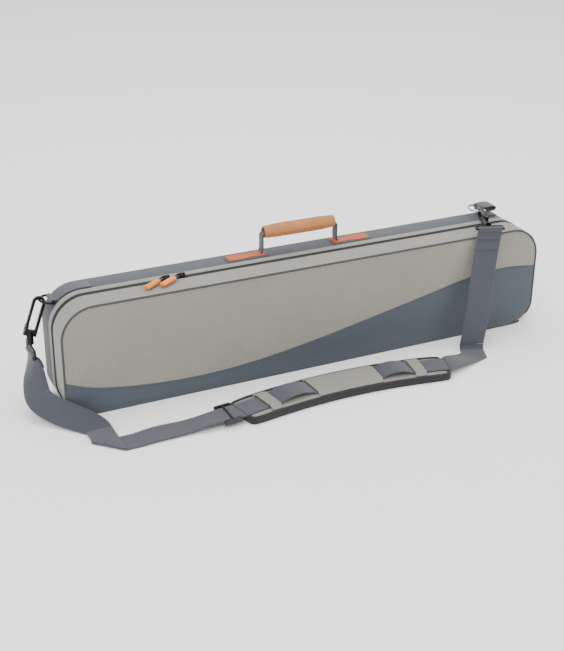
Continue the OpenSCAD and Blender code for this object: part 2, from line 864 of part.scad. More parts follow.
hump_h = 7;
module web_hump(x0, x1) {
  a0 = asin(x0 / pad_bend);
  a1 = asin(x1 / pad_bend);
  c = 2 * pad_bend * sin((a1 - a0) / 2);
  r = (c * c / 4 + hump_h * hump_h) / (2 * hump_h);
  translate([0, pad_cy, 0]) rotate([0, 0, -(a0 + a1) / 2]) translate([0, pad_bend, 0])
    intersection() {
      translate([0, 0, web_top + web_t + hump_h - r - 0.3]) rotate([90, 0, 0]) difference() {
        cylinder(h = web_w - 0.8, r = r, center = true, $fn = 360);
        cylinder(h = web_w + 2, r = r - web_t, center = true, $fn = 360);
      }
      translate([-c / 2, -far, web_top + 0.5]) cube([c, 2 * far, far]);
    }
}

module web_flat(x0, x1) {
  arc_band(pad_bend - web_w / 2, pad_bend + web_w / 2, web_top, web_top + web_t,
    asin(x0 / pad_bend), asin(x1 / pad_bend));
}

module pad_webbing() {
  e = pad_bend * sin(pad_end);
  color("#5b5a63") union() {
    web_flat(-e, -tab_x + 12);
    web_hump(-tab_x + 10, patch_x - patch_half - 1);
    web_flat(patch_x - patch_half - 4, patch_x + patch_half + 4);
    web_hump(patch_x + patch_half + 1, tab_x - 10);
    web_flat(tab_x - 12, e);
  }
}

k_x = foot_x + 24 * sin(yaw);
k_y = foot_y - 24 * cos(yaw);
module right_webbing() {
  px = pad_bend * sin(pad_end) + 1;
  dx = px - k_x;
  dy = end_y - k_y;
  l = norm([dx, dy]);
  color("#5b5a63") union() {
    // bend at the foot of the riser
    translate([foot_x, foot_y, 0.5 + web_t + bend_r]) rotate([0, 0, yaw])
      translate([0, -bend_r - web_t / 2, 0]) rotate([0, 90, 0]) intersection() {
        difference() {
          cylinder(h = web_w, r = bend_r + web_t, center = true);
          cylinder(h = web_w + 2, r = bend_r, center = true);
        }
        translate([1.4, 0, -web_w]) cube([20, 20, 2 * web_w]);
      }
    translate([foot_x, foot_y, 0.5]) rotate([0, 0, yaw]) translate([-web_w / 2, -24, 0])
      cube([web_w, 24 - bend_r, web_t]);
    translate([k_x, k_y, 0.5]) cylinder(h = web_t, r = web_w / 2);
    difference() {
      translate([k_x, k_y, 0.5]) rotate([0, 0, atan2(dy, dx)]) rotate([0, -atan(run_drop / l), 0])
        translate([0, -web_w / 2, 0]) cube([l / cos(atan(run_drop / l)) + 16, web_w, web_t]);
      translate([0, pad_cy, -1]) rotate([0, 0, -pad_end]) translate([0.6 - 400, 0, 0]) cube([400, far, 50]);
    }
  }
}

module riser_webbing() {
  color("#5b5a63") union() {
    intersection() {
      translate([foot_x, foot_y, foot_z]) rotate([0, 0, yaw]) rotate([rise_a, rise_b, 0])
        translate([-web_w / 2, -web_t / 2, -20]) cube([web_w, web_t, rise_l + 40]);
      translate([-far, -far, foot_z + 0.8]) cube([2 * far, 2 * far, rise_z - 1.6 - foot_z - 0.8]);
    }
    translate([rise_x, rise_y, rise_z + 2]) rotate([0, 0, yaw]) rotate([0, 90, 0]) difference() {
      cylinder(h = web_w, r = wire_r + 0.3 + web_t, center = true);
      cylinder(h = web_w + 2, r = wire_r + 0.3, center = true);
    }
  }
}

rear_panel();
rear_gusset();
light_strip();
base_foam();
base_lining();
rear_piping();
rear_zip_tape();
rear_zip_teeth();
hinge_tape();
handle_patches();
handle_tabs();
ring_tab_left();
ring_tab_right();
d_ring_left();
d_ring_right();
rod_rack_left();
rod_rack_right();
rod_shelf();
reel_dividers();
rod_retainers();
hook_left();
gate_left();
front_panel();
lower_panel();
lid_gusset();
lid_foam();
lid_lining();
front_piping();
front_zip_tape();
front_zip_teeth();
mesh_pocket();
pocket_binding();
slider_left();
slider_right();
pull_cord_left();
pull_grip_left();
pull_cord_right();
pull_grip_right();
handle_webbing();
handle_core();
handle_grip();
swivel_eye_left();
left_webbing();
left_webbing_loop();
left_webbing_floor();
tri_glide();
pad_cover();
pad_foam();
pad_backing();
pad_binding();
pad_tabs();
pad_patch();
pad_webbing();
right_webbing();
riser_webbing();
swivel_eye_right();
hook_right();
gate_right();
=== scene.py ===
"""Fabric rod case: the soft and visible pieces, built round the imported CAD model.

Lengths in this file are millimetres, and MM turns them to metres.
"""

import json
import math

import bpy
import numpy as np
from bpy.props import FloatProperty, FloatVectorProperty, PointerProperty
from mathutils import Matrix, Vector, noise


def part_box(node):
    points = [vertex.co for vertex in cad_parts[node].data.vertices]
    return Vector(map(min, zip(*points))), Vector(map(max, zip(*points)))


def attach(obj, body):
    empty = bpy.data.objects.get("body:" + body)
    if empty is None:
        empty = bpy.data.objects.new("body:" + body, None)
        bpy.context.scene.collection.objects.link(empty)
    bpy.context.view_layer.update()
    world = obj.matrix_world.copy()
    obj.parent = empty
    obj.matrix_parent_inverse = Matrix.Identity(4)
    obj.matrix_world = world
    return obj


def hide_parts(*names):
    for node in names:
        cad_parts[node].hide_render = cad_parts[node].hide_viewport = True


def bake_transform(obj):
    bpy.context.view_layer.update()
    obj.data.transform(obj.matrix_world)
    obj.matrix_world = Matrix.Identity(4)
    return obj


bl_info = {
    "name": "Rod Case",
    "version": (1, 0, 0),
    "blender": (4, 5, 0),
    "location": "View3D > Sidebar > Rod Case",
    "description": "Fabric, webbing, leather and trim of a zipped rod case",
    "category": "Object",
}

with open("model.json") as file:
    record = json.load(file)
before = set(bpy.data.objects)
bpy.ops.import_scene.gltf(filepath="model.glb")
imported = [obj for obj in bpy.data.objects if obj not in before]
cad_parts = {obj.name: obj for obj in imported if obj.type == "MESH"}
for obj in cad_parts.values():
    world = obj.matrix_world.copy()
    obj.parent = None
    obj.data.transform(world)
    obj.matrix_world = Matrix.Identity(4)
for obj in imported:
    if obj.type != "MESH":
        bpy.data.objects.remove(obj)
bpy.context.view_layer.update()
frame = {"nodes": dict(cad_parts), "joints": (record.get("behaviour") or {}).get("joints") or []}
MM = 0.001


def mm_box(node):
    """A CAD node's lowest and highest corners, in mm."""
    low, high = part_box(node)
    return np.array(low) / MM, np.array(high) / MM


# The case's outline: its band gives the length and height, its back the depth.
BAND_HIGH = mm_box("rear_gusset")[1]
LENGTH, HEIGHT, DEPTH = BAND_HIGH[0] * 2, BAND_HIGH[2], mm_box("rear_panel")[1][1] * 2
HALF_L, HALF_D = LENGTH / 2, DEPTH / 2
TOP_R, LOW_R = 50.0, 35.0
LID_LOW = 4.2
ZIP_Y, ZIP_END = -4.0, 16.0
ARC_R = HALF_D + ZIP_Y
ARC_Z = 4.0 + ARC_R
WEB_W, WEB_T = 38.0, 1.8


def linear(code):
    """An sRGB hex colour as linear red, green and blue."""
    values = [int(code[i : i + 2], 16) / 255 for i in (1, 3, 5)]
    return tuple(v / 12.92 if v <= 0.04045 else ((v + 0.055) / 1.055) ** 2.4 for v in values)


# ---------------------------------------------------------------- properties
def colour(name, text, code):
    return FloatVectorProperty(
        name=name, description=text, subtype="COLOR", size=3, min=0, max=1, default=linear(code)
    )


def length(name, text, value):
    return FloatProperty(name=name, description=text, default=value * MM, min=0, unit="LENGTH")


class RodCaseColours(bpy.types.PropertyGroup):
    ripstop: colour("Ripstop", "Front panel of grey-green ripstop", "#868478")
    pale: colour("Pale band", "Band and strip beside the zip", "#85847b")
    slate: colour("Slate band", "Back, top and sides", "#42484f")
    lower: colour("Lower panel", "Curved panel along the front's foot", "#414850")
    webbing: colour("Webbing", "Shoulder strap and handle webbing", "#3e414b")
    leather: colour("Tab leather", "Orange leather at the handle", "#b55527")
    grip: colour("Grip leather", "Tan leather round the handle", "#a96d3c")
    pulls: colour("Zip pulls", "Moulded ends of the zip pulls", "#e9822c")
    trim: colour("Trim", "Zip tapes, binding and piping", "#232527")
    lining: colour("Lining", "Brushed cloth inside the case", "#84858a")


class RodCaseSizes(bpy.types.PropertyGroup):
    crown: length("Front crown", "How far the front stands out at its middle", 2.6)
    ripple: length("Ripple", "Height of the soft ripples in the fabric", 0.7)
    ripstop_pitch: length("Ripstop pitch", "Distance between ripstop threads", 5.2)
    weave_pitch: length("Weave pitch", "Distance between woven threads", 1.3)
    rib_pitch: length("Webbing rib", "Distance between webbing ribs", 1.9)
    stitch: length("Stitch length", "Length of one sewn stitch", 2.8)
    tooth_pitch: length("Zip tooth pitch", "Distance between zip coil turns", 2.0)


def colours():
    return bpy.context.scene.rodcase_colours


def sizes():
    return bpy.context.scene.rodcase_sizes


# ---------------------------------------------------------------- modelling
def rest():
    """Leaves edit mode and deselects everything."""
    if bpy.context.mode != "OBJECT":
        bpy.ops.object.mode_set(mode="OBJECT")
    bpy.ops.object.select_all(action="DESELECT")


def pick(piece):
    rest()
    piece.select_set(True)
    bpy.context.view_layer.objects.active = piece
    return piece


def edit(piece, *steps):
    """Runs edit-mode steps on the whole of a piece."""
    pick(piece)
    bpy.ops.object.mode_set(mode="EDIT")
    bpy.ops.mesh.select_all(action="SELECT")
    for step, settings in steps:
        step(**settings)
    bpy.ops.object.mode_set(mode="OBJECT")
    return piece


def apply(piece, kind, **settings):
    """Adds a modifier with its settings and applies it."""
    pick(piece)
    modifier = piece.modifiers.new(kind.title(), kind)
    for key, value in settings.items():
        setattr(modifier, key, value)
    bpy.ops.object.modifier_apply(modifier=modifier.name)
    return piece


def smooth(piece, angle=40):
    pick(piece)
    bpy.ops.object.shade_smooth_by_angle(angle=math.radians(angle))
    return piece


def surface(name, columns, rows, place, cut, out, uv=None):
    """A grid laid on a surface: place(u, v) is a point in mm, cut its flat size, out(p) which way it faces."""
    rest()
    bpy.ops.mesh.primitive_grid_add(x_subdivisions=columns, y_subdivisions=rows, size=2)
    piece = bpy.context.object
    piece.name = piece.data.name = name
    mesh = piece.data
    co = np.empty(len(mesh.vertices) * 3)
    mesh.vertices.foreach_get("co", co)
    uvs = (co.reshape(-1, 3)[:, :2] + 1) / 2
    points = np.array([place(u, v) for u, v in uvs], float)
    mesh.vertices.foreach_set("co", (points * MM).ravel())
    corner = np.empty(len(mesh.loops), np.int32)
    mesh.loops.foreach_get("vertex_index", corner)
    flat = uvs * cut if uv is None else np.array([uv(p) for p in points])
    mesh.uv_layers[0].data.foreach_set("uv", (flat[corner] * MM).astype(np.float32).ravel())
    mesh.update()
    edit(piece, (bpy.ops.mesh.remove_doubles, {"threshold": 2e-6}))
    facing = sum(Vector(out(f.center / MM)).dot(f.normal) * f.area for f in piece.data.polygons)
    if facing < 0:
        edit(piece, (bpy.ops.mesh.flip_normals, {}))
    return piece


def finish(piece, body, material, *nodes, angle=40, slot=None):
    """Shades a piece and gives it its material; hides the CAD nodes it replaces, and ties it to its body if one is
    named.
    """
    smooth(piece, angle)
    piece.data.materials.clear()
    piece.data.materials.append(material)
    if body:
        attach(piece, body)
    if nodes:
        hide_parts(*nodes)
    return piece


def copy_of(node, name, bevel=0.5, detail=0.0):
    """A copy of a CAD node's mesh with its corners rounded, and its flats divided for soft shapes."""
    source = frame["nodes"][node]
    piece = bpy.data.objects.new(name, source.data.copy())
    bpy.context.scene.collection.objects.link(piece)
    piece.data.name = name
    edit(
        piece,
        (bpy.ops.mesh.remove_doubles, {"threshold": 1e-5}),
        (bpy.ops.mesh.dissolve_limited, {"angle_limit": math.radians(2)}),
    )
    if bevel:
        apply(piece, "BEVEL", width=bevel * MM, segments=2, limit_method="ANGLE", angle_limit=math.radians(50),
              use_clamp_overlap=True)
    edit(piece, (bpy.ops.mesh.quads_convert_to_tris, {}))
    return piece


def copies(name, part, places):
    """Copies of one part, each with its own mesh, joined into one piece. The part itself is removed."""
    made = []
    for place in places:
        one = part.copy()
        one.data = part.data.copy()
        one.data.transform(place)
        bpy.context.scene.collection.objects.link(one)
        made.append(one)
    bpy.data.objects.remove(part)
    rest()
    for one in made:
        one.select_set(True)
    bpy.context.view_layer.objects.active = made[0]
    bpy.ops.object.join()
    made[0].name = made[0].data.name = name
    return made[0]


def at_rest(point, along, up):
    """A matrix that puts a part at a point in mm, its X along one way and its Z along another."""
    x = Vector(along).normalized()
    z = Vector(up)
    z = (z - x * z.dot(x)).normalized()
    y = z.cross(x)
    turn = Matrix((x, y, z)).transposed().to_4x4()
    turn.translation = Vector(point) * MM
    return turn


def walk(points, gap):
    """Places every gap mm along a line of points: (point, direction) pairs."""
    points = [Vector(p) for p in points]
    reach = [0.0]
    for a, b in zip(points, points[1:]):
        reach.append(reach[-1] + (b - a).length)
    found = []
    count = max(1, int(reach[-1] / gap))
    for i in range(count):
        s = reach[-1] * (i + 0.5) / count
        k = max(0, int(np.searchsorted(reach, s)) - 1)
        a, b = points[k], points[k + 1]
        found.append((a.lerp(b, (s - reach[k]) / max(1e-9, (b - a).length)), (b - a).normalized()))
    return found


def stitches(name, lines, up, body, material, size=None, sink=0.0):
    """Sewn stitches along lines of points. up(p) is the way out of the cloth."""
    size = size or sizes().stitch / MM
    bpy.ops.mesh.primitive_uv_sphere_add(segments=6, ring_count=4, radius=0.5 * MM)
    part = bpy.context.object
    edit(part, (bpy.ops.transform.resize, {"value": (size, 0.85, 0.6)}))
    places = [at_rest(p - Vector(up(p)) * sink, d, up(p)) for line in lines for p, d in walk(line, size * 1.45)]
    piece = copies(name, part, places)
    return finish(piece, body, material, angle=60)


def tube(name, points, radius, closed=False, resolution=3):
    """A round cord along a line of points, in mm."""
    rest()
    curve = bpy.data.curves.new(name, "CURVE")
    curve.dimensions = "3D"
    curve.bevel_depth = radius * MM
    curve.bevel_resolution = resolution
    curve.use_fill_caps = True
    spline = curve.splines.new("POLY")
    spline.points.add(len(points) - 1)
    for p, q in zip(spline.points, points):
        p.co = (*[c * MM for c in q], 1)
    spline.use_cyclic_u = closed
    piece = bpy.data.objects.new(name, curve)
    bpy.context.scene.collection.objects.link(piece)
    pick(piece)
    bpy.ops.object.convert(target="MESH")
    piece = bpy.context.object
    edit(
        piece,
        (bpy.ops.mesh.remove_doubles, {"threshold": 1e-6}),
        (bpy.ops.mesh.normals_make_consistent, {"inside": False}),
    )
    return piece


def ripple(p, size=60.0, seed=0.0):
    """Soft, low ripples of cloth, from -1 to 1."""
    q = Vector(p) / size + Vector((seed, seed * 1.7, seed * 0.6))
    return noise.noise(q) + 0.5 * noise.noise(q * 2.3)


# ---------------------------------------------------------------- outline
class Rim:
    """The case's outline, anticlockwise from the middle of the bottom edge as seen from the front."""

    def __init__(self, low=0.0, inset=0.0):
        rows = [(0, low + inset, 0, -1)]
        for cx, cz, r, a0 in (
            (HALF_L - LOW_R, low + LOW_R, LOW_R, -90),
            (HALF_L - TOP_R, HEIGHT - TOP_R, TOP_R, 0),
            (-HALF_L + TOP_R, HEIGHT - TOP_R, TOP_R, 90),
            (-HALF_L + LOW_R, low + LOW_R, LOW_R, 180),
        ):
            for i in range(25):
                a = math.radians(a0 + 90 * i / 24)
                nx, nz = math.cos(a), math.sin(a)
                rows.append((cx + (r - inset) * nx, cz + (r - inset) * nz, nx, nz))
        rows.append(rows[0])
        self.rows = np.array(rows, float)
        steps = np.hypot(np.diff(self.rows[:, 0]), np.diff(self.rows[:, 1]))
        self.reach = np.concatenate([[0], np.cumsum(steps)])
        self.total = self.reach[-1]

    def at(self, s):
        """x, z and the outward direction at a length along the outline."""
        return [float(np.interp(s, self.reach, self.rows[:, i])) for i in range(4)]

    def above(self, z):
        """The two lengths between which the outline is higher than z."""
        s = np.linspace(0, self.total, 4000)
        high = s[np.interp(s, self.reach, self.rows[:, 1]) >= z]
        return float(high[0]), float(high[-1])


def parting(z, k):
    """How far back the parting line lies at a height, moved back by k."""
    if z >= ARC_Z:
        return ZIP_Y + k
    d = (ARC_R + k) ** 2 - (ARC_Z - z) ** 2
    return -HALF_D + (math.sqrt(d) if d > 0 else 0.0)


def edge_top(x, inset):
    a = abs(x) - (HALF_L - TOP_R)
    return HEIGHT - inset if a <= 0 else HEIGHT - TOP_R + math.sqrt(max(0, (TOP_R - inset) ** 2 - a * a))


def edge_low(x, inset, low):
    a = abs(x) - (HALF_L - LOW_R)
    return low + inset if a <= 0 else low + LOW_R - math.sqrt(max(0, (LOW_R - inset) ** 2 - a * a))


SEAM = [(-0.55, 0.45), (-0.5, 0.352), (-0.4375, 0.253), (-0.35, 0.192), (-0.24, 0.170), (-0.12, 0.206),
        (0.03, 0.32), (0.225, 0.503), (0.33, 0.605), (0.42, 0.643), (0.5, 0.6), (0.56, 0.54)]


def seam_curve():
    xs, zs = [], []
    for n in range(1, len(SEAM) - 2):
        a, b, c, d = (np.array(SEAM[n + k]) for k in (-1, 0, 1, 2))
        for t in np.arange(0, 1, 0.125):
            p = 0.5 * (2 * b + (c - a) * t + (2 * a - 5 * b + 4 * c - d) * t * t + (3 * b - a - 3 * c + d) * t**3)
            xs.append(p[0] * LENGTH)
            zs.append(p[1] * HEIGHT)
    return np.array(xs), np.array(zs)


SEAM_X, SEAM_Z = seam_curve()


def seam_z(x):
    return float(np.interp(x, SEAM_X, SEAM_Z))


# ---------------------------------------------------------------- materials
def add(tree, kind, ins=None, **settings):
    """Adds a shader node with its settings, values and links."""
    made = tree.nodes.new("ShaderNode" + kind)
    for key, value in settings.items():
        setattr(made, key, value)
    for key, value in (ins or {}).items():
        if isinstance(value, bpy.types.NodeSocket):
            tree.links.new(value, made.inputs[key])
        else:
            made.inputs[key].default_value = value
    return made


def blank(name, rough, **values):
    """A new material, its tree and its shader, with the shader's plain values set."""
    material = bpy.data.materials.new(name)
    material.use_nodes = True
    shader = material.node_tree.nodes["Principled BSDF"]
    shader.inputs["Roughness"].default_value = rough
    for key, value in values.items():
        shader.inputs[key.replace("_", " ")].default_value = value
    return material, material.node_tree, shader


def shades(tree, shader, rgb, factor, dark=0.78, light=1.12):
    """Colours the shader between a darker and a lighter tone of one colour."""
    low = tuple(c * dark for c in rgb) + (1,)
    high = tuple(min(1, c * light) for c in rgb) + (1,)
    mix = add(tree, "Mix", {"Factor": factor, "A": low, "B": high}, data_type="RGBA")
    mix.inputs[6].default_value, mix.inputs[7].default_value = low, high
    tree.links.new(mix.outputs[2], shader.inputs["Base Color"])
    return mix


def waves(tree, where, pitch, way):
    """Bands with a real pitch in metres along one axis."""
    return add(tree, "TexWave", {"Vector": where, "Scale": 0.31416 / pitch, "Distortion": 0.0},
               wave_type="BANDS", bands_direction=way).outputs["Fac"]


def woven(name, rgb, pitch, rough=0.78, sheen=0.25, ways=("X", "Y"), space="UV", grid=0.0, depth=0.35, blotch=16.0,
          dark=0.8, light=1.14):
    """Woven cloth: threads over and under at a real pitch, uneven dye, and ripstop threads if grid is set."""
    material, tree, shader = blank(name, rough, Sheen_Weight=sheen, Sheen_Roughness=0.5, Specular_IOR_Level=0.3)
    where = add(tree, "TexCoord").outputs[space]
    warp, weft = (waves(tree, where, pitch, way) for way in ways)
    threads = add(tree, "Math", {0: warp, 1: weft}, operation="MULTIPLY").outputs[0]
    dye = add(tree, "TexNoise", {"Vector": where, "Scale": blotch, "Detail": 4.0, "Roughness": 0.6}).outputs["Fac"]
    fibre = add(tree, "TexNoise", {"Vector": where, "Scale": 900.0, "Detail": 2.0}).outputs["Fac"]
    height = add(tree, "Math", {0: threads, 1: fibre}, operation="ADD").outputs[0]
    tone = add(tree, "Math", {0: dye, 1: threads}, operation="ADD").outputs[0]
    if grid:
        lines = [
            add(tree, "Math", {0: waves(tree, where, grid, way), 1: 9.0}, operation="POWER").outputs[0]
            for way in ways
        ]
        net = add(tree, "Math", {0: lines[0], 1: lines[1]}, operation="MAXIMUM").outputs[0]
        height = add(tree, "Math", {0: net, 1: 2.0, 2: height}, operation="MULTIPLY_ADD").outputs[0]
        tone = add(tree, "Math", {0: net, 1: -0.42, 2: tone}, operation="MULTIPLY_ADD").outputs[0]
    factor = add(tree, "MapRange", {"Value": tone, "From Min": 0.3, "From Max": 1.3}).outputs["Result"]
    shades(tree, shader, rgb, factor, dark, light)
    gloss = add(tree, "MapRange", {"Value": dye, "To Min": rough - 0.08, "To Max": rough + 0.08}).outputs["Result"]
    tree.links.new(gloss, shader.inputs["Roughness"])
    bump = add(tree, "Bump", {"Height": height, "Distance": depth * MM, "Strength": 0.7})
    tree.links.new(bump.outputs[0], shader.inputs["Normal"])
    return material


def grained(name, rgb, cell, rough=0.5, depth=0.25, space="Object", dark=0.7, light=1.15, blotch=30.0, **values):
    """Leather, rubber or moulded plastic: closed cells of grain with uneven colour."""
    material, tree, shader = blank(name, rough, **values)
    where = add(tree, "TexCoord").outputs[space]
    cells = add(tree, "TexVoronoi", {"Vector": where, "Scale": 1 / (cell * MM)}).outputs["Distance"]
    cloud = add(tree, "TexNoise", {"Vector": where, "Scale": blotch, "Detail": 6.0, "Roughness": 0.65}).outputs["Fac"]
    height = add(tree, "Math", {0: cells, 1: 0.6, 2: cloud}, operation="MULTIPLY_ADD").outputs[0]
    factor = add(tree, "MapRange", {"Value": height, "From Min": 0.35, "From Max": 1.0}).outputs["Result"]
    shades(tree, shader, rgb, factor, dark, light)
    gloss = add(tree, "MapRange", {"Value": cloud, "To Min": rough - 0.1, "To Max": rough + 0.1}).outputs["Result"]
    tree.links.new(gloss, shader.inputs["Roughness"])
    bump = add(tree, "Bump", {"Height": height, "Distance": depth * MM, "Strength": 0.8})
    tree.links.new(bump.outputs[0], shader.inputs["Normal"])
    return material


MADE = {}


def finishes():
    """All materials by slot name, made once."""
    if MADE:
        return MADE
    c, s = colours(), sizes()
    tone = lambda v: tuple(v)
    black = linear("#17181b")
    MADE.update(
        # Nylon ripstop, woven: a fine square net of thicker threads over a plain weave, slightly silky.
        ripstop=woven("nylon_ripstop_woven", tone(c.ripstop), s.weave_pitch, 0.62, 0.15, grid=s.ripstop_pitch, depth=0.3,
                      blotch=9.0, dark=0.84, light=1.1),
        # Polyester plain weave: matt, with small even threads.
        pale_fabric=woven(
            "polyester_plain_weave_pale", tone(c.pale), s.weave_pitch * 1.2, 0.75, 0.2, depth=0.3, dark=0.84
        ),
        slate_fabric=woven("polyester_plain_weave_slate", tone(c.slate), s.weave_pitch * 1.2, 0.72, 0.2, depth=0.3),
        # Coated polyester: smoother, the coating fills the weave and gives a low satin gloss.
        slate_lower=woven("coated_polyester_satin", tone(c.lower), s.weave_pitch, 0.5, 0.05, depth=0.12, blotch=7.0,
                          dark=0.86, light=1.12),
        # Polyester webbing, woven: close ribs across and twill along it, a dull sheen.
        webbing=woven(
            "polyester_webbing_ribbed", tone(c.webbing), s.rib_pitch, 0.68, 0.3, depth=0.45, dark=0.78, light=1.16
        ),
        # A darker copy of the webbing for the right ring loop: painted shade of the shaded right top corner.
        dark_webbing=woven("polyester_webbing_painted_shade", linear("#37383e"), s.rib_pitch, 0.68, 0.3, depth=0.45),
        zip_tape=woven("polyester_zip_tape", tone(c.trim), 1.0, 0.8, 0.15, depth=0.2),
        lining=woven(
            "brushed_tricot_lining", tone(c.lining), 1.6, 0.9, 0.5, ways=("X", "Z"), space="Object", depth=0.3
        ),
        binding=woven("grosgrain_binding", linear("#1d1e20"), 1.4, 0.75, 0.2, depth=0.3),
        net=woven("polyester_net", linear("#2c2e31"), 1.2, 0.8, 0.1, ways=("X", "Z"), space="Object"),
        # Bias-cut piping cover over a cord: matt and finely woven.
        piping=grained("woven_piping_cover", linear("#393c3c"), 0.9, 0.75, 0.2),
        # EVA and polyethylene foam, moulded: closed cells, quite matt.
        foam=grained("eva_foam_moulded", linear("#3c3f44"), 1.6, 0.85, 0.3),
        # Nylon coil, extruded and coiled: dark, with a soft gloss.
        zip_coil=grained("nylon_zip_coil", linear("#121314"), 0.6, 0.42, 0.05),
        # Die-cast zinc with black enamel: smooth, the gloss slightly uneven.
        zip_metal=grained("zinc_black_enamel", linear("#1c1d1f"), 1.2, 0.38, 0.04, Metallic=0.6),
        black_metal=grained("zinc_black_plated", linear("#1a1b1e"), 1.5, 0.34, 0.05, Metallic=0.75),
        # Light grey metal for the right D ring: a painted highlight, where the left ring is black.
        bright_metal=grained(
            "steel_painted_highlight", linear("#c3c5c6"), 1.5, 0.28, 0.04, dark=0.85, light=1.05, Metallic=1.0
        ),
        # Acetal, moulded: black, faintly textured by its mould.
        black_plastic=grained("acetal_moulded_black", linear("#1d1e21"), 0.8, 0.45, 0.08),
        cord=woven("polyester_cord_braided", black, 1.1, 0.7, 0.2, ways=("X", "Y"), space="Object"),
        # Thermoplastic rubber, moulded: orange, soft gloss.
        pull_orange=grained("tpr_moulded_orange", tone(c.pulls), 1.0, 0.48, 0.12, dark=0.82, light=1.06),
        # Vegetable-tanned leather: fine grain, colour rubbed lighter on the high parts.
        orange_leather=grained("leather_veg_tanned_orange", tone(c.leather), 1.3, 0.55, 0.3, dark=0.66, light=1.15),
        grip_leather=grained("leather_nubuck_tan", tone(c.grip), 1.1, 0.62, 0.3, dark=0.74, light=1.16, blotch=45.0),
        thread_dark=woven("polyester_thread_dark", linear("#2a2c30"), 0.6, 0.7, 0.2, space="Object"),
        thread_pale=woven("polyester_thread_pale", linear("#8d8c86"), 0.6, 0.7, 0.2, space="Object"),
        thread_slate=woven("polyester_thread_slate", linear("#454a54"), 0.6, 0.7, 0.2, space="Object"),
        thread_orange=woven("polyester_thread_tan", linear("#b06a3c"), 0.6, 0.7, 0.2, space="Object"),
    )
    return MADE


# ---------------------------------------------------------------- shared shapes
def outward(p):
    """Which way the case's skin faces at a point."""
    return (p[0] - max(-HALF_L + 60, min(HALF_L - 60, p[0])), 0, p[2] - HEIGHT / 2)


def inside(x, z):
    """How far a point of the front or back lies inside the outline."""
    a, top, low = abs(x), HEIGHT - TOP_R, LID_LOW + LOW_R
    if a > HALF_L - TOP_R and z > top:
        return TOP_R - math.hypot(a - HALF_L + TOP_R, z - top)
    if a > HALF_L - LOW_R and z < low:
        return LOW_R - math.hypot(a - HALF_L + LOW_R, z - low)
    return min(HALF_L - a, HEIGHT - z, z - LID_LOW)


def puff(x, z, seed):
    """How far crowned cloth stands out of a flat panel: rolled in at its edge, rippled inside."""
    d = inside(x, z)
    s = sizes()
    rise = s.crown / MM * (1 - math.exp(-max(0, d) / 20)) - 1.5 * math.exp(-max(0, d) / 2.0)
    fade = min(1, max(0, d / 35))
    pucker = 0.28 * math.sin(x / 2.9 + 2 * math.sin(x / 23)) * math.exp(-abs(HEIGHT - z) / 22) * min(1, max(0, d / 4))
    return rise + s.ripple / MM * ripple((x, 0, z * 1.3), 75, seed) * fade + pucker


def band(name, rim, s0, s1, near, far, lift, columns, rows):
    """Cloth that follows the outline from s0 to s1, between two lines near(z) and far(z), raised by lift(y, z)."""

    def place(u, v):
        x, z, nx, nz = rim.at(s0 + (s1 - s0) * u)
        y = near(z) + (far(z) - near(z)) * v
        h = lift(x, y, z, v) * min(1, max(0, 1 + nz * 1.02))
        return x + nx * h, y, z + nz * h

    wide = far(HEIGHT) - near(HEIGHT)
    return surface(name, columns, rows, place, (s1 - s0, wide), outward)


def thicken(piece, thick, offset=-1.0, rim_bevel=0.0):
    apply(piece, "SOLIDIFY", thickness=thick * MM, offset=offset, use_even_offset=True)
    if rim_bevel:
        apply(piece, "BEVEL", width=rim_bevel * MM, segments=2, limit_method="ANGLE", angle_limit=math.radians(60))
    return piece


def arc(mid, radius, degrees):
    """Points round mid, seen from the front, at each of the given angles."""
    turns = [math.radians(a) for a in degrees]
    return [Vector(mid) + Vector((radius * math.cos(a), 0, radius * math.sin(a))) for a in turns]


def ribbon(name, path, across, width=WEB_W, thick=WEB_T, columns=6, curl=0.0):
    """Flat webbing along a path; across is one vector, or one for each point, that gives its width and direction."""
    path = [Vector(p) for p in path]
    if not isinstance(across, list):
        across = [across] * len(path)
    across = [Vector(a) for a in across]
    reach = np.concatenate([[0], np.cumsum([(b - a).length for a, b in zip(path, path[1:])])])
    last = len(path) - 1

    def place(u, v):
        i = min(last - 1, int(v * last))
        t = v * last - i
        return path[i].lerp(path[i + 1], t) + across[i].lerp(across[i + 1], t) * (u - 0.5) * width

    def flat(u, v):
        return (u * width, float(np.interp(v * last, range(last + 1), reach)))

    piece = surface(name, columns, last, place, (width, float(reach[-1])), lambda p: (0, 0, 1))
    if curl:
        for v in piece.data.vertices:
            v.co.z += curl * MM * ripple(v.co / MM, 40, 3)
    apply(piece, "SOLIDIFY", thickness=thick * MM, offset=0, use_even_offset=False)
    apply(piece, "BEVEL", width=thick * 0.3 * MM, segments=2, limit_method="ANGLE", angle_limit=math.radians(60))
    piece["length_mm"] = float(reach[-1])
    return piece


def cloth(piece, width=WEB_W, area=None):
    """Returns the piece as it is."""
    return piece


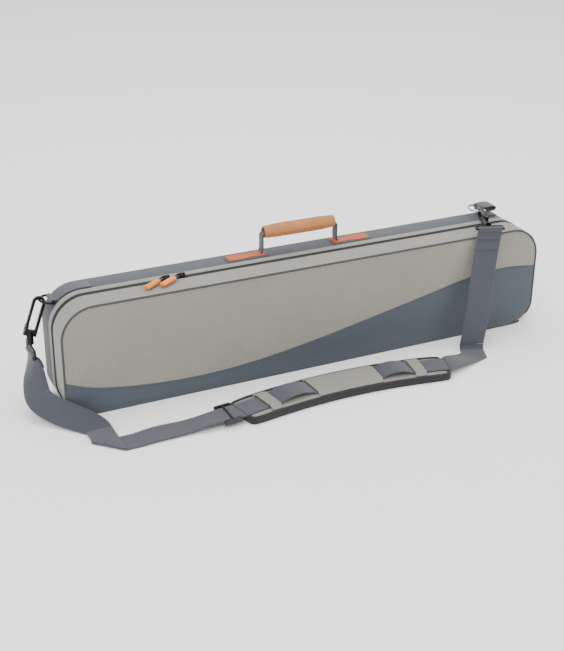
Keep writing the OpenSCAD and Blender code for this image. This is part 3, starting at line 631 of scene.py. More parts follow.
# ---------------------------------------------------------------- case
class RODCASE_OT_front(bpy.types.Operator):
    """Makes the crowned ripstop front and the curved lower panel, with the row of stitching along their seam"""

    bl_idname = "rodcase.front"
    bl_label = "Front panels"

    def execute(self, context):
        m, reach = finishes(), HALF_L - 1.1

        def ripstop(u, v):
            x = -math.cos(math.pi * u) * reach
            z0, z1 = max(seam_z(x) - 2.5, edge_low(x, 1.1, LID_LOW)), edge_top(x, 1.1)
            z = z0 + (z1 - z0) * v
            return x, -HALF_D - puff(x, z, 1), z

        def lower(u, v):
            x = -math.cos(math.pi * u) * reach
            z0, z1 = edge_low(x, 1.1, LID_LOW), seam_z(x)
            z = z0 + (z1 - z0) * v
            roll = 0.75 * (1 - math.exp(-(z1 - z) / 1.2)) - 0.1
            return x, -HALF_D - puff(x, z, 1) - roll * (1 - math.exp(-max(0, inside(x, z)) / 3)), z

        flat = lambda p: (p[0], p[2])
        front = lambda p: (0, -1, 0)
        a = thicken(surface("front_ripstop", 190, 30, ripstop, (LENGTH, HEIGHT), front, flat), 1.1)
        finish(a, "lid", m["ripstop"], "front_panel", slot="ripstop")
        b = thicken(surface("front_lower", 190, 22, lower, (LENGTH, HEIGHT), front, flat), 1.0)
        finish(b, "lid", m["slate_lower"], "lower_panel", slot="slate_lower")
        stitch_drop, stitch_end = 3.4, HALF_L - 8
        line = []
        for x in np.linspace(-stitch_end, stitch_end, 260):
            z = seam_z(x) - stitch_drop
            line.append((x, -HALF_D - puff(x, z, 1) - 0.72, z))
        stitches("front_seam_stitches_1", [line], front, "lid", m["thread_dark"], sink=0.12)
        return {"FINISHED"}


class RODCASE_OT_bands(bpy.types.Operator):
    """Makes the pale lid band, the slate band round the base with its pale strip, and the slate back"""

    bl_idname = "rodcase.bands"
    bl_label = "Bands and back"

    def execute(self, context):
        m, base, lid = finishes(), Rim(), Rim(LID_LOW)
        wave = sizes().ripple / MM

        def lid_lift(x, y, z, v):
            crown = 0.7 * math.sin(math.pi * min(1, v * 1.15))
            return -0.35 + crown + 0.45 * wave * ripple((x, y, z), 45, 2) * math.sin(math.pi * v)

        s0, s1 = lid.above(LID_LOW + 0.6)
        lid_back = lambda z: max(-HALF_D + 0.6, parting(z, -0.3))
        a = band("lid_band", lid, s0, s1, lambda z: -HALF_D + 0.5, lid_back, lid_lift, 320, 10)
        finish(thicken(a, 1.0), "lid", m["pale_fabric"], "lid_gusset", slot="pale_fabric")

        def slate_lift(x, y, z, v):
            edge = parting(z, 16)
            t = max(0, min(1, (y - edge) / (HALF_D - edge)))
            return -0.3 + 0.8 * math.sin(math.pi * t) + 0.6 * wave * ripple((x, y, z), 60, 5) * math.sin(math.pi * t)

        near = lambda z: parting(z, 0.3) if z > 3.9 else -HALF_D + 0.2
        b = band("slate_band", base, 0, base.total, near, lambda z: HALF_D - 0.7, slate_lift, 330, 18)
        finish(thicken(b, 1.0), "case", m["slate_fabric"], "rear_gusset", slot="slate_fabric")
        s0, s1 = base.above(ZIP_END)
        c = band("pale_strip", base, s0, s1, lambda z: parting(z, 4.1), lambda z: parting(z, 16),
                 lambda x, y, z, v: 0.35 + 0.5 * math.sin(math.pi * v), 300, 6)
        finish(thicken(c, 0.8), "case", m["pale_fabric"], "light_strip", slot="pale_fabric")

        def back(u, v):
            x = -math.cos(math.pi * u) * (HALF_L - 1.1)
            z0, z1 = edge_low(x, 1.1, 0), edge_top(x, 1.1)
            z = z0 + (z1 - z0) * v
            return x, HALF_D + 0.75 * puff(x, z, 7), z

        d = surface("slate_back", 170, 34, back, (LENGTH, HEIGHT), lambda p: (0, 1, 0), lambda p: (p[0], p[2]))
        finish(thicken(d, 1.1), "case", m["slate_fabric"], "rear_panel", slot="slate_fabric")
        # stitching beside the pale strip and along the lid band
        s0, s1 = base.above(ZIP_END + 1)
        lines = []
        for off, level in ((16.9, 0.15), (14.8, 0.55)):
            line = []
            for s in np.linspace(s0, s1, 330):
                x, z, nx, nz = base.at(s)
                line.append((x + nx * level, parting(z, off), z + nz * level))
            lines.append(line)
        stitches("strip_stitches", lines[:1], outward, "case", m["thread_slate"], sink=0.1)
        stitches("strip_edge_stitches", lines[1:], outward, "case", m["thread_pale"], sink=0.1)
        line = []
        s0, s1 = lid.above(ZIP_END + 1)
        for s in np.linspace(s0, s1, 330):
            x, z, nx, nz = lid.at(s)
            line.append((x + nx * 0.15, parting(z, -6.4), z + nz * 0.15))
        stitches("lid_band_stitches", [line], outward, "lid", m["thread_pale"], sink=0.1)
        return {"FINISHED"}


class RODCASE_OT_piping(bpy.types.Operator):
    """Makes the corded piping round the front and the back"""

    bl_idname = "rodcase.piping"
    bl_label = "Piping"

    def execute(self, context):
        m = finishes()
        for name, node, body, low, y in (
            ("front_piping_cord", "front_piping", "lid", LID_LOW, -HALF_D),
            ("rear_piping_cord", "rear_piping", "case", 0.0, HALF_D),
        ):
            rim = Rim(low, 1.6)
            s0, s1 = rim.above(ZIP_END) if body == "lid" else (0, rim.total * 0.9985)
            points = [(*rim.at(s)[:1], y, rim.at(s)[1]) for s in np.linspace(s0, s1, 360)]
            cord = tube(name, points, 1.6, closed=body == "case")
            finish(cord, body, m["piping"], node, slot="piping")
        return {"FINISHED"}


class RODCASE_OT_zip(bpy.types.Operator):
    """Makes the two zip tapes and the turns of the two coils"""

    bl_idname = "rodcase.zip"
    bl_label = "Zip"

    def execute(self, context):
        m, pitch = finishes(), sizes().tooth_pitch / MM
        for side, body, rim, tape, coil in (
            (-1, "lid", Rim(LID_LOW), "front_zip_tape", "front_zip_teeth"),
            (1, "case", Rim(), "rear_zip_tape", "rear_zip_teeth"),
        ):
            s0, s1 = rim.above(ZIP_END)
            inner = (lambda z: parting(z, -4.2)) if side < 0 else (lambda z: parting(z, 0.25))
            outer = (lambda z: parting(z, -0.25)) if side < 0 else (lambda z: parting(z, 4.2))
            piece = band(tape + "_cloth", rim, s0, s1, inner, outer, lambda x, y, z, v: 0.12, 300, 4)
            finish(thicken(piece, 0.6), body, m["zip_tape"], tape, slot="zip_tape")
            rest()
            bpy.ops.mesh.primitive_cube_add(size=MM)
            part = bpy.context.object
            edit(
                part,
                (bpy.ops.transform.resize, {"value": (pitch * 0.62, 1.35, 0.95)}),
                (bpy.ops.mesh.bevel, {"offset": 0.28 * MM, "segments": 1, "affect": "EDGES"}),
            )
            places = []
            count = int((s1 - s0) / pitch)
            for i in range(count):
                x, z, nx, nz = rim.at(s0 + (i + (0.5 if side > 0 else 0.0)) * pitch)
                y = parting(z, side * 0.95)
                places.append(at_rest((x + nx * 0.45, y, z + nz * 0.45), (-nz, 0, nx), (nx, 0, nz)))
            finish(copies(coil + "_coil", part, places), body, m["zip_coil"], coil, angle=30, slot="zip_coil")
        return {"FINISHED"}


class RODCASE_OT_pulls(bpy.types.Operator):
    """Makes the moulded orange ends of the two zip pulls"""

    bl_idname = "rodcase.pulls"
    bl_label = "Zip pulls"

    def execute(self, context):
        m = finishes()
        for side in ("left", "right"):
            low, high = mm_box(f"slider_{side}")
            x0, y0, z0 = (low[0] + high[0]) / 2, ZIP_Y, HEIGHT + 5.0
            a = math.radians(214)
            d, n = Vector((math.cos(a), math.sin(a), 0)), Vector((-math.sin(a), math.cos(a), 0))

            def place(u, v):
                # straight sides, rounded ends, and shallow moulded rings near the cord
                t = v * 2 - 1
                end = (1 - abs(t) ** 14) ** 0.5 if abs(t) < 1 else 0.0
                ring = 1 + 0.05 * math.cos(v * 31 * 2) * (1 if v < 0.32 else 0)
                phi = 2 * math.pi * u
                c, s = math.cos(phi), math.sin(phi)
                q = (abs(c) ** 3 + abs(s) ** 3) ** (-1 / 3)
                girth = q * end * ring
                middle = Vector((x0, y0, z0)) + d * (17 + 32 * v)
                return middle + n * (4.6 * c * girth) + Vector((0, 0, 3.0 * s * girth))

            centre = Vector((x0, y0, z0)) + d * 33
            away = lambda p: p - (centre + d * (p - centre).dot(d))
            piece = surface(f"pull_end_{side}", 28, 44, place, (26, 32), away)
            finish(piece, f"{side}_pull", m["pull_orange"], f"pull_grip_{side}", slot="pull_orange")
        return {"FINISHED"}


# ---------------------------------------------------------------- handle
class RODCASE_OT_handle(bpy.types.Operator):
    """Makes the carry handle: webbing, leather grip with its sewn seam, and the leather tabs on their patches"""

    bl_idname = "rodcase.handle"
    bl_label = "Carry handle"

    def execute(self, context):
        m = finishes()
        low, high = mm_box("handle_grip")
        cx, cy, cz = (low + high) / 2
        half, r = (high[0] - low[0]) / 2, (high[1] - low[1]) / 2
        leg = half + 2.8
        path = [(half + 5.6, 172.9), (half + 3.8, 175.6), (half + 2.9, 179.5), (leg, 185), (leg, 192), (leg, cz - 6)]
        for i in range(1, 9):
            b = math.radians(90 * i / 8)
            path.append((half - 2 + 4.8 * math.cos(b), cz - 6 + 4.8 * math.sin(b)))
        path += [(half - 12, cz - 1.2), (half - 30, cz - 1.2), (0, cz - 1.2)]
        full = [(cx - x, cy, z) for x, z in path] + [(cx + x, cy, z) for x, z in reversed(path[:-1])]
        web = ribbon("handle_strap", full, (0, 1, 0), 14, 2.2)
        # each leg bends just above its leather tab; the strap is baked in place and tied to no body
        finish(web, None, m["webbing"], "handle_webbing", slot="webbing")
        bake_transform(web)
        cloth(web, 14)
        seam_at = math.radians(205)

        def grip(u, v):
            phi = 2 * math.pi * u
            t = 2 * v - 1
            x = half * t
            taper = 1.7 * max(0, (abs(t) - 0.55) / 0.45) ** 1.6
            lip = 1.0 * max(0, (abs(t) - 0.975) / 0.025) ** 2
            gap = (phi - seam_at + math.pi) % (2 * math.pi) - math.pi
            groove = 0.7 * math.exp(-((gap * r / 0.8) ** 2))
            groove -= 0.35 * math.exp(-(((gap * r - 2.2) / 1.2) ** 2))
            crease = 0.3 * ripple((x * 0.7, math.cos(phi) * 10, math.sin(phi) * 10), 9, 4)
            q = r - taper - lip - groove + crease
            return cx + x, cy + q * math.cos(phi), cz + q * math.sin(phi)

        round_core = lambda p: (0, p[1] - cy, p[2] - cz)
        piece = surface("grip_leather", 72, 90, grip, (2 * math.pi * r, 2 * half), round_core)
        thicken(piece, 1.9)
        finish(piece, "handle", m["grip_leather"], "handle_grip", slot="grip_leather")
        up = (0, math.cos(seam_at + 0.25), math.sin(seam_at + 0.25))
        sewn, proud = half * 0.8, r + 0.15
        line = [(cx + x, cy + proud * up[1], cz + proud * up[2]) for x in np.linspace(-sewn, sewn, 20)]
        stitches("grip_stitches", [line], lambda p: up, "handle", m["thread_orange"])
        core = copy_of("handle_core", "grip_core", 0.6)
        finish(core, "handle", m["foam"], "handle_core", slot="foam")

        patches = copy_of("handle_patches", "tab_patches", 0.3)
        finish(patches, "case", m["slate_fabric"], "handle_patches", slot="slate_fabric")
        tabs = []
        low, high = mm_box("handle_tabs")
        for side in (-1, 1):
            tx = cx + side * (high[0] - low[0] - 64) / 2

            def place(u, v):
                # a waisted strip that swells over the foot of the strap
                x = (u * 2 - 1) * 31.5
                waist = 10 - 2.6 * math.exp(-(((x + side * 8) / 9) ** 2)) - (2.6 if abs(x) > 30 else 0)
                y = (v * 2 - 1) * waist
                swell = 1.5 * math.exp(-(((x + side * 25) / 7) ** 2)) * (1 - (abs(v * 2 - 1)) ** 3)
                rim = 0.5 * max(0, (abs(v * 2 - 1) - 0.85) / 0.15) ** 2
                return tx + x, cy + y, HEIGHT + 2.3 + swell - rim

            tab = surface("tab", 44, 14, place, (64, 20), lambda p: (0, 0, 1))
            tabs.append(thicken(tab, 1.2))
        rest()
        for tab in tabs:
            tab.select_set(True)
        bpy.context.view_layer.objects.active = tabs[0]
        bpy.ops.object.join()
        tabs[0].name = tabs[0].data.name = "leather_tabs"
        finish(tabs[0], "case", m["orange_leather"], "handle_tabs", slot="orange_leather")
        lines = []
        for side in (-1, 1):
            tx = cx + side * (high[0] - low[0] - 64) / 2
            for y in (-6.6, 6.6):
                for x0, x1 in ((-29.5, 29.5),):
                    lines.append([(tx + x, cy + y * (1 - 0.24 * math.exp(-(((x + side * 8) / 9) ** 2))),
                                   HEIGHT + 2.35 + 0.95 * math.exp(-(((x + side * 25) / 7) ** 2))) for x in np.linspace(x0, x1, 24)])
            for x in (-29.5, 29.5):
                lines.append([(tx + x, cy + y, HEIGHT + 2.45) for y in (-6, 0, 6)])
        stitches("tab_stitches", lines, lambda p: (0, 0, 1), "case", m["thread_orange"], 2.4)
        return {"FINISHED"}


class RODCASE_OT_ring_tabs(bpy.types.Operator):
    """Makes the two webbing loops that hold the D rings"""

    bl_idname = "rodcase.ring_tabs"
    bl_label = "Ring loops"

    def execute(self, context):
        m = finishes()
        low, high = mm_box("ring_tab_left")
        y, wide = (low[1] + high[1]) / 2, high[1] - low[1]
        low, high = mm_box("d_ring_left")
        cx, cz, r = -HALF_L + TOP_R, HEIGHT - TOP_R, TOP_R + 1.1
        bar = (cx - (TOP_R + 4.3) * math.sin(math.radians(47)), cz + (TOP_R + 4.3) * math.cos(math.radians(47)))
        path = [(cx + x, y, HEIGHT + 1.1) for x in (17, 10, 4)]
        path += [(cx - r * math.sin(math.radians(a)), y, cz + r * math.cos(math.radians(a))) for a in range(0, 44, 4)]
        start = math.radians(47 - 90)
        for i in range(0, 15):
            # round the bar, from its inner side over its outside and back
            a = math.radians(-43 + 250 - i * 19)
            path.append((bar[0] + 3.1 * math.cos(a), y, bar[1] + 3.1 * math.sin(a)))
        tab = ribbon("ring_loop_left", path, (0, 1, 0), wide, 1.7)
        finish(tab, "case", m["webbing"], "ring_tab_left", slot="webbing")
        cloth(tab, wide)
        lines = []
        for a in (6, 34):
            x, z = cx - (r + 0.95) * math.sin(math.radians(a)), cz + (r + 0.95) * math.cos(math.radians(a))
            lines.append([(x, y + k, z) for k in (-wide / 2 + 2, 0, wide / 2 - 2)])
        stitches("ring_loop_stitches", lines, outward, "case", m["thread_slate"], 2.4)

        low, high = mm_box("ring_tab_right")
        y0, y1 = low[1], high[1]
        y, wide = (y0 + y1) / 2, y1 - y0
        bx, bz, ex = low[0] + 4, high[2] - 4, high[0] - 4
        path = [(ex + 6, y, HEIGHT + 1.2), (ex - 4, y, HEIGHT + 1.3)]
        path += [(bx + 3, y, HEIGHT + 2.2), (bx - 0.5, y, HEIGHT + 5.5)]
        loop_r = 3.1
        path += arc((bx, y, bz), loop_r, range(250, 90, -20))
        for t in (0.1, 0.35, 0.6, 0.85):
            path.append((bx + (ex - bx) * t, y, bz + loop_r + 0.5 * math.sin(math.pi * t)))
        path += arc((ex, y, bz), loop_r, range(80, -100, -20))
        path += [(ex - 3, y, bz - 3.4), (bx + 6, y, bz - 3.6), (bx + 4.6, y, bz - 2)]
        tab = ribbon("ring_loop_right", path, (0, 1, 0), wide, 1.8)
        # this loop's darker webbing is painted shade of the right top corner
        finish(tab, "case", m["dark_webbing"], "ring_tab_right", slot="dark_webbing")
        cloth(tab, wide)
        return {"FINISHED"}


# ---------------------------------------------------------------- strap
def joint_at(name):
    """Where a joint of the CAD sits, in mm."""
    found = next(j for j in frame["joints"] if j["name"] == name)
    return Vector(found["pos_m"]) / MM


EYE_LOW, EYE_HIGH = mm_box("swivel_eye_left")
EYE = Vector(((EYE_LOW[0] + EYE_HIGH[0]) / 2, (EYE_LOW[1] + EYE_HIGH[1]) / 2, EYE_LOW[2] + 1.8))
# The middle of the webbing as it passes round an eye's bar.
EYE_LOOP_R = 3.05
FOLD_X = -HALF_L + 51
FOOT, TOP = joint_at("strap_fold"), joint_at("strap_end_turn")
YAW = math.radians(-22)
PAD_R, PAD_Y, PAD_L, PAD_T = 775.0, -HALF_D - 77, 346.0, 10.0
PAD_C = PAD_Y - PAD_R
PAD_END = math.asin(PAD_L / 2 / PAD_R)
END_X, END_Y = PAD_R * math.sin(PAD_END), PAD_C + PAD_R * math.cos(PAD_END)
WEB_Z = PAD_T + 0.9 + WEB_T / 2


def ease(t):
    return 0 if t <= 0 else t * t * (3 - 2 * t)


def hang(t):
    """The middle line of the hanging webbing, from the eye to the floor."""
    top = Vector((EYE.x, EYE.y, EYE.z - 2.2 - WEB_T))
    end = Vector((FOLD_X - WEB_W / 2, -HALF_D - 50, 3.9))
    mix = (ease((t - 0.45) / 0.55), 0.5 * ease(t) + 0.5 * t**1.3, 1 - (1 - t) ** 1.3)
    p = Vector([a + (b - a) * k for a, b, k in zip(top, end, mix)])
    p.x -= 8 * math.sin(math.pi * t) ** 2
    return p


def hang_across(t):
    if t <= 0 or t >= 1:
        return Vector((0, -1, 0)) if t <= 0 else Vector((1, 0, 0))
    d = hang(min(1, t + 0.02)) - hang(max(0, t - 0.02))
    u = Vector((math.sin(math.pi / 2 * t), -math.cos(math.pi / 2 * t), 0))
    return d.cross(u).cross(d).normalized()


def on_pad(x, z, r=PAD_R):
    """A point over the pad's curve, for a distance x from its middle."""
    a = math.asin(max(-1, min(1, x / PAD_R)))
    return Vector((r * math.sin(a), PAD_C + r * math.cos(a), z))


class RODCASE_OT_left_strap(bpy.types.Operator):
    """Makes the webbing from the left eye down to the floor, folded over and run to the pad"""

    bl_idname = "rodcase.left_strap"
    bl_label = "Left webbing"

    def execute(self, context):
        m = finishes()
        steps = [i / 44 for i in range(45)]
        path, across = [hang(t) for t in steps], [hang_across(t) for t in steps]
        web = ribbon("strap_left_hang", path, across, columns=8)
        finish(web, "strap", m["webbing"], "left_webbing", slot="webbing")
        cloth(web)
        # round the bar and sewn down on the strap's inner face
        loop = [hang(t) + Vector((1.9, 0, 0)) for t in (0.22, 0.15, 0.1, 0.05, 0.02)]
        loop += arc(EYE, EYE_LOOP_R, range(-50, 236, 22))
        loop += [hang(0.0) + Vector((-0.2, 0, 0.4))]
        turn = [hang_across(t) for t in (0.22, 0.15, 0.1, 0.05, 0.02)] + [Vector((0, -1, 0))] * 14
        piece = ribbon("strap_left_loop", loop, turn[: len(loop)], columns=8)
        finish(piece, "strap", m["webbing"], "left_webbing_loop", slot="webbing")
        cloth(piece)
        lines = []
        for t in (0.07, 0.13, 0.2):
            out = Vector((-1, 0, 0))
            lines.append([hang(t) + out * 1.1 + hang_across(t) * k for k in (-16.5, -8, 0, 8, 16.5)])
        stitches("strap_left_stitches", lines, lambda p: (-1, 0, 0), "strap", m["thread_slate"], 2.6, 0.1)

        # lying towards the front, folded under on a diagonal, then along to the pad
        left, back = FOLD_X - WEB_W, END_Y + WEB_W / 2
        rise = PAD_T + 0.4
        x0, x1 = FOLD_X + 20, -END_X - 1

        def place(u, v):
            a = u * WEB_W
            fold = Vector((left + a, back - a, 0))
            if v < 0.22:
                t = v / 0.22
                y = -HALF_D - 50 + (fold.y + HALF_D + 50) * t
                return left + a, y, 3.9 + 0.8 * math.sin(math.pi * t) * math.sin(math.pi * u)
            if v < 0.30:
                b = math.pi * (v - 0.22) / 0.08
                out = 1.3 * math.sin(b) / math.sqrt(2)
                return fold.x - out, fold.y - out, 2.65 + 1.25 * math.cos(b)
            t = (v - 0.30) / 0.70
            end = -(PAD_R + (fold.y - PAD_C - PAD_R * math.cos(PAD_END))) * math.sin(PAD_END) - 0.8
            x = fold.x + (end - fold.x) * t
            k = max(0, min(1, (x - x0) / (x1 - x0)))
            wave = 2.4 * math.sin(math.pi * k) * math.sin(7 * k + 1.2 + u * 0.9) if k > 0 else 0
            side = 2.2 * math.sin(math.pi * k) * math.sin(4.4 * k + 0.5)
            return x, fold.y + side, max(1.45, 1.4 + rise * k + max(-0.7 * rise * k, wave))

        long = (back - WEB_W / 2 + HALF_D + 50) * -1 + (-END_X - left)
        run = surface("strap_left_run", 8, 200, place, (WEB_W, long), lambda p: (0, 0, 1))
        thicken(run, 1.6, 0, 0.4)
        run["length_mm"] = float(long)
        finish(run, "strap", m["webbing"], "left_webbing_floor", slot="webbing")
        cloth(run)
        return {"FINISHED"}


class RODCASE_OT_right_strap(bpy.types.Operator):
    """Makes the webbing from the pad to the foot of the riser, and the riser up to the right hook"""

    bl_idname = "rodcase.right_strap"
    bl_label = "Right webbing"

    def execute(self, context):
        m = finishes()
        n2 = Vector((math.cos(YAW), math.sin(YAW), 0))
        d2 = Vector((-math.sin(YAW), math.cos(YAW), 0))
        start, corner = Vector((END_X + 0.8, END_Y, WEB_Z)), Vector((FOOT.x, FOOT.y, 1.4)) - d2 * 24
        flat = Vector((corner.x - start.x, corner.y - start.y, 0))
        d1 = flat.normalized()
        n1 = Vector((d1.y, -d1.x, 0))
        radial = Vector((math.sin(PAD_END), math.cos(PAD_END), 0))
        first = -radial / abs(n1.dot(radial))
        mitre = (n1 + n2).normalized()
        mitre = mitre / mitre.dot(n1)
        path, across = [], []
        for i in range(13):
            t = i / 12
            p = start.lerp(corner, t)
            p.z = 1.4 + (WEB_Z - 1.4) * (1 - ease(t)) if t < 1 else 1.4
            path.append(p)
            across.append(first.lerp(n1, min(1, t * 2)) if t < 0.5 else n1.lerp(mitre, t * 2 - 1))
        for i in range(1, 5):
            path.append(corner + d2 * (4 * i))
            across.append(mitre.lerp(n2, i / 4))
        bend = Vector((FOOT.x, FOOT.y, 9.3)) - d2 * 7.9
        for a in range(0, 91, 15):
            b = math.radians(a)
            path.append(bend + d2 * (7.9 * math.sin(b)) - Vector((0, 0, 7.9 * math.cos(b))))
            across.append(n2)
        web = ribbon("strap_right_run", path, across, thick=1.7, columns=8)
        finish(web, "strap", m["webbing"], "right_webbing", slot="webbing")
        cloth(web)

        low, high = Vector((FOOT.x, FOOT.y, FOOT.z - 0.35)), Vector((TOP.x, TOP.y, TOP.z - 3.6))
        line = high - low
        local = Vector((line.dot(n2), line.dot(d2), line.z))
        lean = math.atan2(local.x, local.z)
        wide = n2 / math.cos(lean) + d2 * (math.sin(lean) * local.y / local.z)
        path = []
        for t in np.linspace(0, 1, 34):
            sag, sway = 2.6 * math.sin(math.pi * t), 1.2 * math.sin(2 * math.pi * t)
            path.append(low.lerp(high, t) - d2 * sag + n2 * sway)
        across = [wide.lerp(n2, max(0, t - 0.75) * 4) for t in np.linspace(0, 1, 34)]
        # over the eye's bar and down the back, where it is sewn
        for a in range(-40, 230, 22):
            b = math.radians(a)
            path.append(TOP + d2 * (-EYE_LOOP_R * math.cos(b)) + Vector((0, 0, EYE_LOOP_R * math.sin(b))))
        across += [n2] * 13
        down = (TOP - low).normalized()
        path += [TOP - down * k + d2 * 1.7 - d2 * (1.2 * math.sin(math.pi * k / 180)) for k in (8, 16, 26, 36)]
        across += [n2, n2, n2, n2]
        riser = ribbon("strap_riser", path, across, columns=8)
        finish(riser, "strap_riser", m["webbing"], "riser_webbing", slot="webbing")
        cloth(riser)
        lines = []
        for k in (13, 15, 29, 31):
            t = 1 - k / line.length
            p = low.lerp(high, t) - d2 * (2.6 * math.sin(math.pi * t) + 1.15)
            lines.append([p + wide.lerp(n2, max(0, t - 0.75) * 4) * q for q in (-17.5, -9, 0, 9, 17.5)])
        stitches("strap_riser_stitches", lines, lambda p: -d2, "strap_riser", m["thread_dark"], 2.8, 0.05)
        return {"FINISHED"}


class RODCASE_OT_pad(bpy.types.Operator):
    """Makes the shoulder pad: crowned body, bound edge, the webbing that arches over it, its tabs and patch"""

    bl_idname = "rodcase.pad"
    bl_label = "Shoulder pad"

    def execute(self, context):
        m = finishes()
        half_w, corner = 33.0, 13.0

        def half_width(s):
            """Half the pad's width at a distance s from its middle, with rounded corners."""
            d = PAD_L / 2 + 1 - abs(s)
            return half_w - corner + math.sqrt(max(0.0, corner**2 - max(0, corner - d) ** 2))

        def shell(u, v):
            s = -math.cos(math.pi * v) * (PAD_L / 2 - 1.6)
            w = half_width(s) - 1.6
            phi = 2 * math.pi * u
            c, q = math.cos(phi), math.sin(phi)
            k = (abs(c) ** 5 + abs(q) ** 5) ** (-0.2)
            side = c * k
            end = 1 - math.exp(-max(0, PAD_L / 2 - 1.4 - abs(s)) / 2.5)
            top = PAD_T / 2 - 0.6 + 1.5 * (1 - side * side) * end
            top -= 0.9 * math.exp(-(((abs(s) - 124) / 7) ** 2)) * (1 - side**4)
            dimple = 0.45 * ripple((s, side * 30, 0), 22, 9) * (1 - side * side)
            z = PAD_T / 2 + 0.2 + (q * k * (top + dimple) if q > 0 else q * k * (PAD_T / 2 - 0.5))
            z = PAD_T / 2 + 0.2 + (z - PAD_T / 2 - 0.2) * end
            return on_pad(s, max(0.5, z), PAD_R + side * w)

        body_out = lambda p: (0, p[1] - on_pad(p[0], 0).y, (p[2] - 5) * 4)
        body = surface("pad_body", 48, 120, shell, (2 * half_w, PAD_L), body_out)
        finish(body, "strap", m["pale_fabric"], "pad_cover", "pad_foam", "pad_backing", slot="ripstop")

        # bound edge: cloth wrapped over the pad's rim
        rim = []
        for i in range(240):
            a = 2 * math.pi * i / 240
            c, q = math.cos(a), math.sin(a)
            straight, r = PAD_L / 2 - corner, corner
            k = (abs(c) ** 12 + abs(q) ** 12) ** (-1 / 12)
            s, w = c * k * PAD_L / 2, q * k * half_w
            over = max(0, abs(s) - straight), max(0, abs(w) - (half_w - r))
            far = math.hypot(*over)
            if far > r:
                s = math.copysign(straight + over[0] * r / far, s)
                w = math.copysign(half_w - r + over[1] * r / far, w)
            rim.append((s, w))
        rim.append(rim[0])
        section = [
            (-5.6, 10.5), (-3.5, 10.9), (-1.0, 10.7), (0.2, 9.6), (0.55, 7.6),
            (0.3, 5.3), (0.55, 3.0), (0.2, 1.1), (-1.0, 0.45), (-4.5, 0.35),
        ]

        def bind(u, v):
            i = min(239, int(v * 240))
            t = v * 240 - i
            (s0, w0), (s1, w1) = rim[i], rim[i + 1]
            s, w = s0 + (s1 - s0) * t, w0 + (w1 - w0) * t
            before, after = rim[(i - 2) % 240], rim[(i + 3) % 240]
            ds, dw = after[0] - before[0], after[1] - before[1]
            size = math.hypot(ds, dw) or 1
            ns, nw = dw / size, -ds / size
            k = min(8, int(u * 9))
            f = u * 9 - k
            o = section[k][0] + (section[k + 1][0] - section[k][0]) * f
            z = section[k][1] + (section[k + 1][1] - section[k][1]) * f
            return on_pad(s + ns * o, z, PAD_R + w + nw * o)

        edge_out = lambda p: (p[0] * 0.4, (p[1] - on_pad(p[0], 0).y) * 4, 0)
        edge = surface("pad_binding_edge", 9, 240, bind, (20, 2 * (PAD_L + 66)), edge_out)
        thicken(edge, 0.8)
        finish(edge, "strap", m["binding"], "pad_binding", slot="zip_tape")

        # webbing over the pad, arched between the tabs
        tab, patch_half, patch_x = 0.36 * PAD_L, 0.16 * PAD_L, 5.0
        spans = ((-tab + 10, patch_x - patch_half - 1), (patch_x + patch_half + 1, tab - 10))
        path, across = [], []
        for s in np.linspace(-PAD_L / 2, PAD_L / 2, 150):
            z = WEB_Z
            for a, b in spans:
                if a < s < b:
                    k = (s - a) / (b - a)
                    z += 6.6 * math.sin(math.pi * k) ** 0.8
            a = math.asin(s / PAD_R)
            path.append(on_pad(s, z))
            across.append(Vector((math.sin(a), math.cos(a), 0)))
        web = ribbon("pad_strap", path, across, columns=8)
        finish(web, "strap", m["webbing"], "pad_webbing", slot="webbing")
        cloth(web)

        def over(x, half, name, material, node_slot, seed):
            """Cloth laid across the pad over the webbing, sewn down at both ends."""
            span = 27.5

            def place(u, v):
                r = (v * 2 - 1) * span
                s = x + (u * 2 - 1) * half
                lift = 3.5 * (1 / (1 + math.exp((abs(r) - 21.0) / 0.55)))
                z = PAD_T + 1.6 + lift + 0.25 * ripple((s, r, 0), 12, seed)
                a = math.asin(s / PAD_R)
                return Vector(((PAD_R + r) * math.sin(a), PAD_C + (PAD_R + r) * math.cos(a), z))

            piece = surface(name, max(6, int(half / 2.5)), 60, place, (2 * half, 2 * span + 6), lambda p: (0, 0, 1))
            thicken(piece, 1.0, 0, 0.3)
            piece["length_mm"] = 2 * span + 6.0
            return piece

        tabs = [over(s * tab, 9, "pad_tab", m["pale_fabric"], "webbing", 11 + s) for s in (-1, 1)]
        rest()
        for piece in tabs:
            piece.select_set(True)
        bpy.context.view_layer.objects.active = tabs[0]
        bpy.ops.object.join()
        tabs[0].name = tabs[0].data.name = "pad_tab_pair"
        finish(tabs[0], "strap", m["pale_fabric"], "pad_tabs", slot="ripstop")
        patch = over(patch_x, patch_half, "pad_patch_cloth", m["ripstop"], "ripstop", 17)
        finish(patch, "strap", m["pale_fabric"], "pad_patch", slot="ripstop")
        cloth(patch, 2 * patch_half)
        lines = []
        sewn_at = [-tab - 6.5, -tab + 6.5, tab - 6.5, tab + 6.5]
        sewn_at += [patch_x - patch_half + 2.5, patch_x + patch_half - 2.5]
        for x in sewn_at:
            a = math.asin(x / PAD_R)
            for r0, r1 in ((-26, -22.5), (22.5, 26)):
                reaches = (PAD_R + r0, PAD_R + r1)
                lines.append([Vector((q * math.sin(a), PAD_C + q * math.cos(a), PAD_T + 2.2)) for q in reaches])
        for side in (-1, 1):
            for a0, a1 in ((-PAD_L / 2 + 12, PAD_L / 2 - 12),):
                lines.append([on_pad(s, PAD_T + 1.35, PAD_R + side * 28.6) for s in np.linspace(a0, a1, 60)])
        stitches("pad_stitches", lines, lambda p: (0, 0, 1), "strap", m["thread_dark"], 2.4, 0.1)
        return {"FINISHED"}


